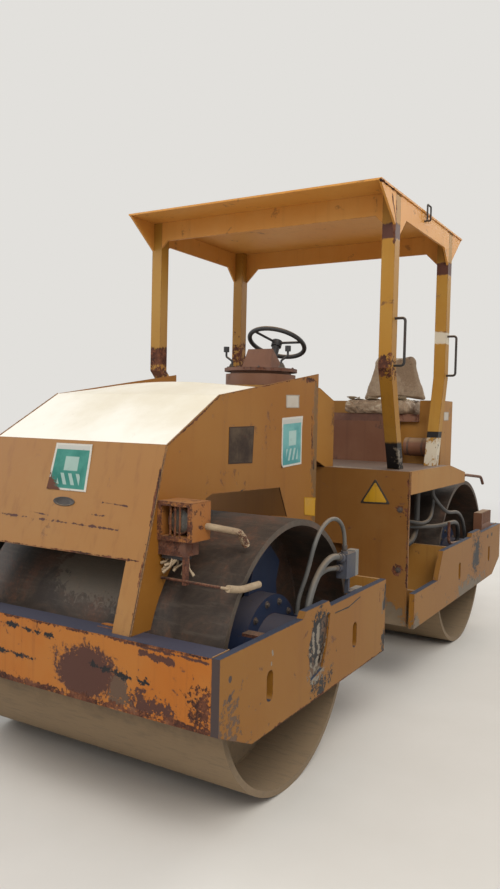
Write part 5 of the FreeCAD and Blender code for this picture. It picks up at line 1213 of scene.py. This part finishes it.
def front_lamps():
    """Round lamps behind the guard's bars: a bowl, a rolled rim, a reflector and ribbed glass."""
    cases, glasses, bowls = Maker(), Maker(), Maker()
    for side in (1, -1):
        centre = (0.0, side * LAMP_Y, LAMP_Z)
        cases.turned([(1.684, 0), (1.684, 0.016), (1.698, 0.028), (1.724, 0.042), (1.748, 0.048), (1.752, 0.0515),
                      (1.762, 0.0518), (1.768, 0.049), (1.769, 0.045), (1.764, 0.0435), (1.756, 0.0435), (1.74, 0.04),
                      (1.712, 0.022), (1.706, 0)], centre, (1, 0, 0), 40)
        bowls.turned([(1.7125, 0), (1.7125, 0.01), (1.718, 0.018), (1.738, 0.036), (1.752, 0.0425), (1.7535, 0.0425),
                      (1.7395, 0.0345), (1.7195, 0.016), (1.7145, 0.006), (1.7145, 0)], centre, (1, 0, 0), 36)
        glasses.turned([(1.757, 0), (1.757, 0.043), (1.7605, 0.043), (1.7655, 0.034), (1.7695, 0.018), (1.7708, 0)],
                       centre, (1, 0, 0), 40)
        cases.block((1.712, side * LAMP_Y - 0.01, 1.062), (1.732, side * LAMP_Y + 0.01, 1.092), 0.002)
    case = cases.piece("lamp_cases", "rusty", "front_frame", "rusty_steel")
    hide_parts("lamps")
    bowls.piece("lamp_reflectors", "reflector", "front_frame", "bright_steel")
    glasses.piece("lamp_glasses", "lens", "front_frame", "lamp_glass")


def cable_terminals():
    """The pulled-off terminal block under the left lamp, with the stiff stubs of its wires."""
    block, stubs = Maker(), Maker()
    block.block((1.735, 0.458, 0.992), (1.782, 0.562, 1.0065), 0.003)
    chance = random.Random(11)
    for n in range(14):
        top = Vector((chance.uniform(1.742, 1.778), 0.462 + n * 0.0072, 0.995))
        way = Vector((chance.uniform(0.0, 0.7), chance.uniform(-0.9, 0.3), -1.0)).normalized()
        length = chance.uniform(0.036, 0.07)
        bend = top + way * length * 0.55
        aside = Vector((chance.uniform(-0.5, 0.6), chance.uniform(-0.9, 0.5), 0.3))
        tip = bend + (way + aside).normalized() * length * 0.5
        stubs.rod([top, bend, tip], 0.0042, 10)
        sleeve = tip - (tip - bend).normalized() * 0.012
        stubs.turned([(0, 0), (0, 0.0058), (0.014, 0.0058), (0.014, 0)], sleeve, tip - bend, 10)
    block.piece("terminal_block", "black", "front_frame", "black_plastic")
    stubs.piece("terminal_stubs", "sleeve", "front_frame", "black_plastic")


def beam_tab():
    """The bent tab on top of the front beam and the folded scraps round the torn cut-out."""
    tab = Maker()
    tab.prism([(0.262, 0.7355), (0.428, 0.7355), (0.424, 0.744), (0.404, 0.7495), (0.29, 0.7495), (0.266, 0.744)],
              0, 1.878, 1.882, 0.0008)
    tab.block((1.872, 0.262, 0.7355), (1.902, 0.428, 0.7385), 0.001)
    tab.piece("beam_tab", "beam", "front_frame", "orange_paint")
    scraps = Maker()
    chance = random.Random(4)
    outline = [(1.13, 0.695), (1.128, 0.655), (1.142, 0.615), (1.15, 0.578), (1.176, 0.548), (1.196, 0.515),
               (1.232, 0.482), (1.262, 0.474), (1.284, 0.512), (1.3, 0.56), (1.312, 0.61), (1.318, 0.66),
               (1.308, 0.698)]
    for _ in range(34):
        k = chance.uniform(0, len(outline) - 1.001)
        first, second = Vector(outline[int(k)]), Vector(outline[int(k) + 1])
        spot = first.lerp(second, k % 1)
        inward = (Vector((1.222, 0.59)) - spot).normalized()
        side = Vector((-inward.y, inward.x))
        long, wide = chance.uniform(0.01, 0.026), chance.uniform(0.004, 0.01)
        y = 0.833
        part = bmesh.new()
        corners = [(spot - side * wide, y), (spot + side * wide, y),
                   (spot + side * wide * 0.5 + inward * long * 0.6, y + 0.003),
                   (spot + inward * long, y + chance.uniform(0.002, 0.007)),
                   (spot - side * wide * 0.6 + inward * long * 0.5, y + 0.002)]
        rings = [[part.verts.new((p.x, level + lift, p.y)) for p, level in corners] for lift in (0.0, 0.0012)]
        face_rings(part, rings)
        scraps.add(part)
    scraps.piece("torn_scraps", "scrap", "front_frame", "rusty_steel", 25)


# The engine in its bay

def engine():
    """Crankcase, head, manifolds, pump, fan and the flywheel's housing, in the space of the plain mass."""
    core, parts, rusty, rubber = Maker(), Maker(), Maker(), Maker()
    core.block((-0.51, -0.13, 0.775), (-0.19, 0.13, 0.93), 0.01)
    core.block((-0.49, -0.1, 0.7125), (-0.21, 0.1, 0.785), 0.016)
    core.block((-0.5, -0.112, 0.925), (-0.195, 0.112, 0.985), 0.006)
    for n in range(7):
        x = -0.49 + n * 0.046
        core.block((x, -0.142, 0.8), (x + 0.01, 0.142, 0.918), 0.003)
    core.turned([(0, 0), (0, 0.146), (0.01, 0.154), (0.052, 0.154), (0.066, 0.136), (0.078, 0.13), (0.078, 0)],
                (-0.588, 0, 0.87), (1, 0, 0), 48)
    for x in (-0.45, -0.25):
        for side in (1, -1):
            core.prism([(side * 0.12, 0.8), (side * 0.272, 0.735), (side * 0.272, 0.7115), (side * 0.11, 0.7115)],
                       0, x, x + 0.05, 0.003)
    parts.block((-0.48, -0.072, 0.984), (-0.215, 0.072, 1.04), 0.016)
    parts.turned([(0, 0), (0, 0.026), (0.02, 0.026), (0.026, 0.02), (0.026, 0)], (-0.27, 0, 1.036), (0, 0, 1), 28)
    parts.block((-0.35, 0.205, 0.7125), (-0.205, 0.3, 0.8), 0.008)
    parts.block((-0.385, 0.19, 0.795), (-0.255, 0.3, 0.99), 0.008)
    for x, z in ((-0.3, 0.95), (-0.35, 0.84), (-0.25, 0.76)):
        parts.turned([(0, 0), (0, 0.03), (0.014, 0.03), (0.014, 0.021), (0.0285, 0.021), (0.0285, 0)],
                     (x, 0.3, z), (0, 1, 0), 6)
    parts.block((-0.47, 0.128, 0.83), (-0.405, 0.19, 0.895), 0.006)
    parts.turned([(0, 0), (0, 0.04), (0.012, 0.044), (0.118, 0.044), (0.132, 0.036), (0.136, 0)],
                 (-0.455, 0.222, 0.82), (0, 0, 1), 30)
    parts.turned([(0, 0), (0, 0.05), (0.016, 0.058), (0.074, 0.058), (0.09, 0.05), (0.09, 0)],
                 (-0.28, -0.205, 0.83), (1, 0, 0), 32)
    for n in range(4):
        x = -0.465 + n * 0.075
        rusty.rod([(x, -0.105, 0.955), (x, -0.15, 0.958), (x, -0.178, 0.968)], 0.019, 14)
        rubber.rod([(-0.44 + n * 0.012, 0.16, 0.89), (-0.44 + n * 0.02, 0.176, 0.95), (x, 0.15, 1.002),
                    (x, 0.1, 0.992)], 0.0035, 8)
    rusty.rod([(-0.49, -0.182, 0.972), (-0.21, -0.182, 0.972)], 0.027, 20)
    rusty.rod([(-0.475, -0.186, 0.975), (-0.515, -0.192, 0.99), (-0.535, -0.196, 1.03), (-0.535, -0.196, 1.106)],
              0.024, 20)
    parts.rod([(-0.47, 0.132, 0.962), (-0.225, 0.132, 0.962)], 0.022, 18)
    parts.rod([(-0.24, 0.134, 0.965), (-0.215, 0.14, 0.995), (-0.212, 0.144, 1.04), (-0.212, 0.144, 1.106)],
              0.024, 18)
    pulleys = ((0.0, 0.795, 0.058), (0.0, 0.925, 0.04), (-0.205, 0.83, 0.032))
    for y, z, radius in pulleys:
        core.turned([(0, 0), (0, radius), (0.004, radius), (0.01, radius - 0.007), (0.016, radius), (0.02, radius),
                     (0.02, radius * 0.4), (0.028, radius * 0.35), (0.028, 0)], (-0.19, y, z), (1, 0, 0), 32)
    belt = [(0.054, 0.795), (0.052, 0.812), (0.036, 0.935), (0.02, 0.957), (-0.01, 0.961), (-0.19, 0.862),
            (-0.228, 0.85), (-0.238, 0.828), (-0.225, 0.806), (-0.04, 0.748), (0.0, 0.74), (0.036, 0.752)]
    rubber.rod([(-0.18, y, z) for y, z in belt], 0.0055, 8, closed=True)
    parts.turned([(0, 0), (0, 0.034), (0.03, 0.034), (0.03, 0)], (-0.164, 0, 0.925), (1, 0, 0), 24)
    for n in range(6):
        turn = Matrix.Rotation(math.tau * n / 6, 3, "X")
        parts.block((-0.166, 0.028, 0.9), (-0.162, 0.15, 0.95), 0.001, turn, (-0.15, 0, 0.925))
    core.turned([(-0.018, 0.16), (0.018, 0.16), (0.018, 0.163), (-0.018, 0.163)], (-0.136, 0, 0.925), (1, 0, 0), 56,
                closed=True)
    for z in (0.77, 1.083):
        core.block((-0.15, -0.012, z), (-0.122, 0.012, z + 0.016), 0.002)
    whole = core.piece("engine_core", "casting", "rear_frame", "dark_steel")
    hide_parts("engine_block")
    parts.piece("engine_parts", "dark", "rear_frame", "dark_steel")
    rusty.piece("engine_exhaust", "rusty", "rear_frame", "rusty_steel")
    rubber.piece("engine_belt_and_lines", "rubber", "rear_frame", "hose_rubber")


# Small parts

def small_parts():
    """Hub cap, lever boots, clamps, cap and handles."""
    lean = math.radians(25)
    axis = Vector((-math.sin(lean), 0, math.cos(lean)))
    hub = Maker()
    hub.turned([(0.001, 0), (0.001, 0.026), (0.004, 0.028), (0.007, 0.026), (0.009, 0.016), (0.01, 0)],
               (0.11, 0, 1.94), axis, 32)
    hub.piece("wheel_cap", "black", "steering_wheel", "black_plastic")
    boots = Maker()
    for y in (-0.17, 0.155):
        profile = [(0, 0), (0, 0.022)]
        for n in range(4):
            profile += [(0.004 + n * 0.006, 0.021 - n * 0.003), (0.007 + n * 0.006, 0.016 - n * 0.003)]
        profile += [(0.03, 0.008), (0.03, 0)]
        boots.turned(profile, (0.33, y, 1.778), (0, 0, 1), 24)
    boots.piece("lever_boots", "rubber", "rear_frame", "black_plastic")
    cover = Maker()
    for side in (1, -1):
        y = side * 0.431
        out = y + side * 0.028
        cover.rod([(-1.52, y, 1.5), (-1.52, out, 1.5), (-1.42, out, 1.5), (-1.42, y, 1.5)], 0.006, 10)
        for x in (-1.72, -1.24):
            cover.block((x - 0.022, y - 0.002, 1.18), (x + 0.022, y + side * 0.006 + 0.002, 1.23), 0.0015)
    cover.piece("cover_handles", "bolt", "rear_frame", "dark_steel")


def welds():
    """Weld runs where plates meet, on each frame."""
    def run(*points):
        return [Vector(p) for p in points]

    def ring(x, y, radius):
        points = circle((x, y, AXLE_Z), (0, 1, 0), radius, 96)
        return points + points[:1]

    front, rear, drum_front, drum_rear = [], [], [], []
    for side in (1, -1):
        y = side * 0.4505
        front += [run((1.868, side * 0.811, 0.737), (1.964, side * 0.811, 0.737)),
                  run((1.938, y, 0.74), (1.7465, y, 1.404), (1.401, y, 1.599))]
        rear += [run((-1.868, side * 0.811, 0.737), (-1.964, side * 0.811, 0.737)),
                 run((0.0115, side * 0.788, 0.77), (0.0115, side * 0.788, 1.228)),
                 run((0.0115, side * 0.811, 0.39), (0.0115, side * 0.811, 0.57)),
                 run((-0.001, side * 0.7905, 1.107), (-0.001, side * 0.7905, 1.23))]
        drum_front.append(ring(AXLE_X, side * 0.4795, 0.5235))
        drum_rear.append(ring(-AXLE_X, side * 0.4795, 0.5235))
        for x0, x1 in ((0.232, 0.303), (-0.701, -0.604)):
            rear.append(run((x0, side * 0.771, 2.655), (x1, side * 0.771, 2.655)))
    for name, runs, body, finish, slot in (
        ("front_welds", front, "front_frame", "weld", "ochre_paint"),
        ("rear_welds", rear, "rear_frame", "weld", "ochre_paint"),
        ("front_drum_welds", drum_front, "front_drum", "front_drum", "drum_steel"),
        ("rear_drum_welds", drum_rear, "rear_drum", "rear_drum", "drum_steel"),
    ):
        points, edges = [], []
        for line in runs:
            first = len(points)
            points += line
            edges += [(first + n, first + n + 1) for n in range(len(line) - 1)]
        radius = 0.0045 if "drum" in name else 0.003
        values = {"Radius": radius, "Spacing": radius * (2.0 if "drum" in name else 1.5), "Seed": 7}
        grown(name, weld, points, None, values, finish, body, edges)


def bolts():
    """Hexagon heads on the motors, plates, ring, cover and engine."""
    front, rear, fine = [], [], []
    for side in (1, -1):
        for x, group in ((AXLE_X, front), (-AXLE_X, rear)):
            group += [(p, (0, side, 0)) for p in circle((x, side * 0.6352, AXLE_Z), (0, 1, 0), 0.2, 12, 0.2)]
        rear += [((0.0102, side * 0.738, 1.021), (1, 0, 0)), ((0.0102, side * 0.737, 0.69), (1, 0, 0))]
        fine += [((x, side * 0.4302, z), (0, side, 0)) for x in (-1.74, -1.2) for z in (1.26, 1.48)]
    fine += [(p, (0, 0, 1)) for p in circle((0.29, 0, 1.7782), (0, 0, 1), 0.188, 10, 0.3)]
    fine += [((x, y, 0.9852), (0, 0, 1)) for x in (-0.485, -0.345, -0.207) for y in (-0.095, 0.095)]
    fine += [((x, side * 0.0722, 1.012), (0, side, 0)) for x in (-0.44, -0.345, -0.25) for side in (1, -1)]
    fine += [((x, 0.3002, z), (0, 1, 0)) for x in (-0.372, -0.268) for z in (0.815, 0.975)]
    for name, table, radius, height, body in (
        ("front_bolts", front, 0.0095, 0.008, "front_frame"), ("rear_bolts", rear, 0.0095, 0.008, "rear_frame"),
        ("fine_bolts", fine, 0.0062, 0.005, "rear_frame"),
    ):
        values = {"Radius": radius, "Height": height, "Seed": 3}
        grown(name, bolt, [p for p, _ in table], [f for _, f in table], values, "bolt", body)


def rings_and_slats():
    """Ribs on the torn elbow, bands on the air cleaner and slats on the engine cover."""
    elbow = Vector((1.612, 0.69, 1.088))
    along = (Vector((1.585, 0.703, 1.035)) - elbow).normalized()
    places = [elbow + along * (0.018 + n * 0.0065) for n in range(6)]
    values = {"Radius": 0.013, "Wire": 0.0022}
    grown("elbow_ribs", ring, places, [along] * 6, values, "pipes", "front_frame")
    grown("cleaner_bands", ring, [(-0.768, y, 1.34) for y in (0.515, 0.522, 0.608, 0.615)], [(0, 1, 0)] * 4,
          {"Radius": 0.0575, "Wire": 0.0022}, "dark", "rear_frame")
    points = [(-1.47, side * 0.434, 1.265 + n * 0.03) for side in (1, -1) for n in range(6)]
    facings = [(0, side, 0) for side in (1, -1) for _ in range(6)]
    values = {"Length": 0.36, "Depth": 0.02, "Sheet": 0.0025, "Tilt": 0.6}
    grown("cover_slats", slat, points, facings, values, "ochre", "rear_frame")


set_camera()
build_materials()
hoses()
floor_and_light()
for finish, names in FINISHES.items():
    for name in names:
        dress(nodes[name], materials[finish])
bolt, weld, ring, slat = bolt_tree(), weld_tree(), ring_tree(), slat_tree()
seat_pads()
signs()
front_lamps()
cable_terminals()
beam_tab()
engine()
small_parts()
welds()
bolts()
rings_and_slats()
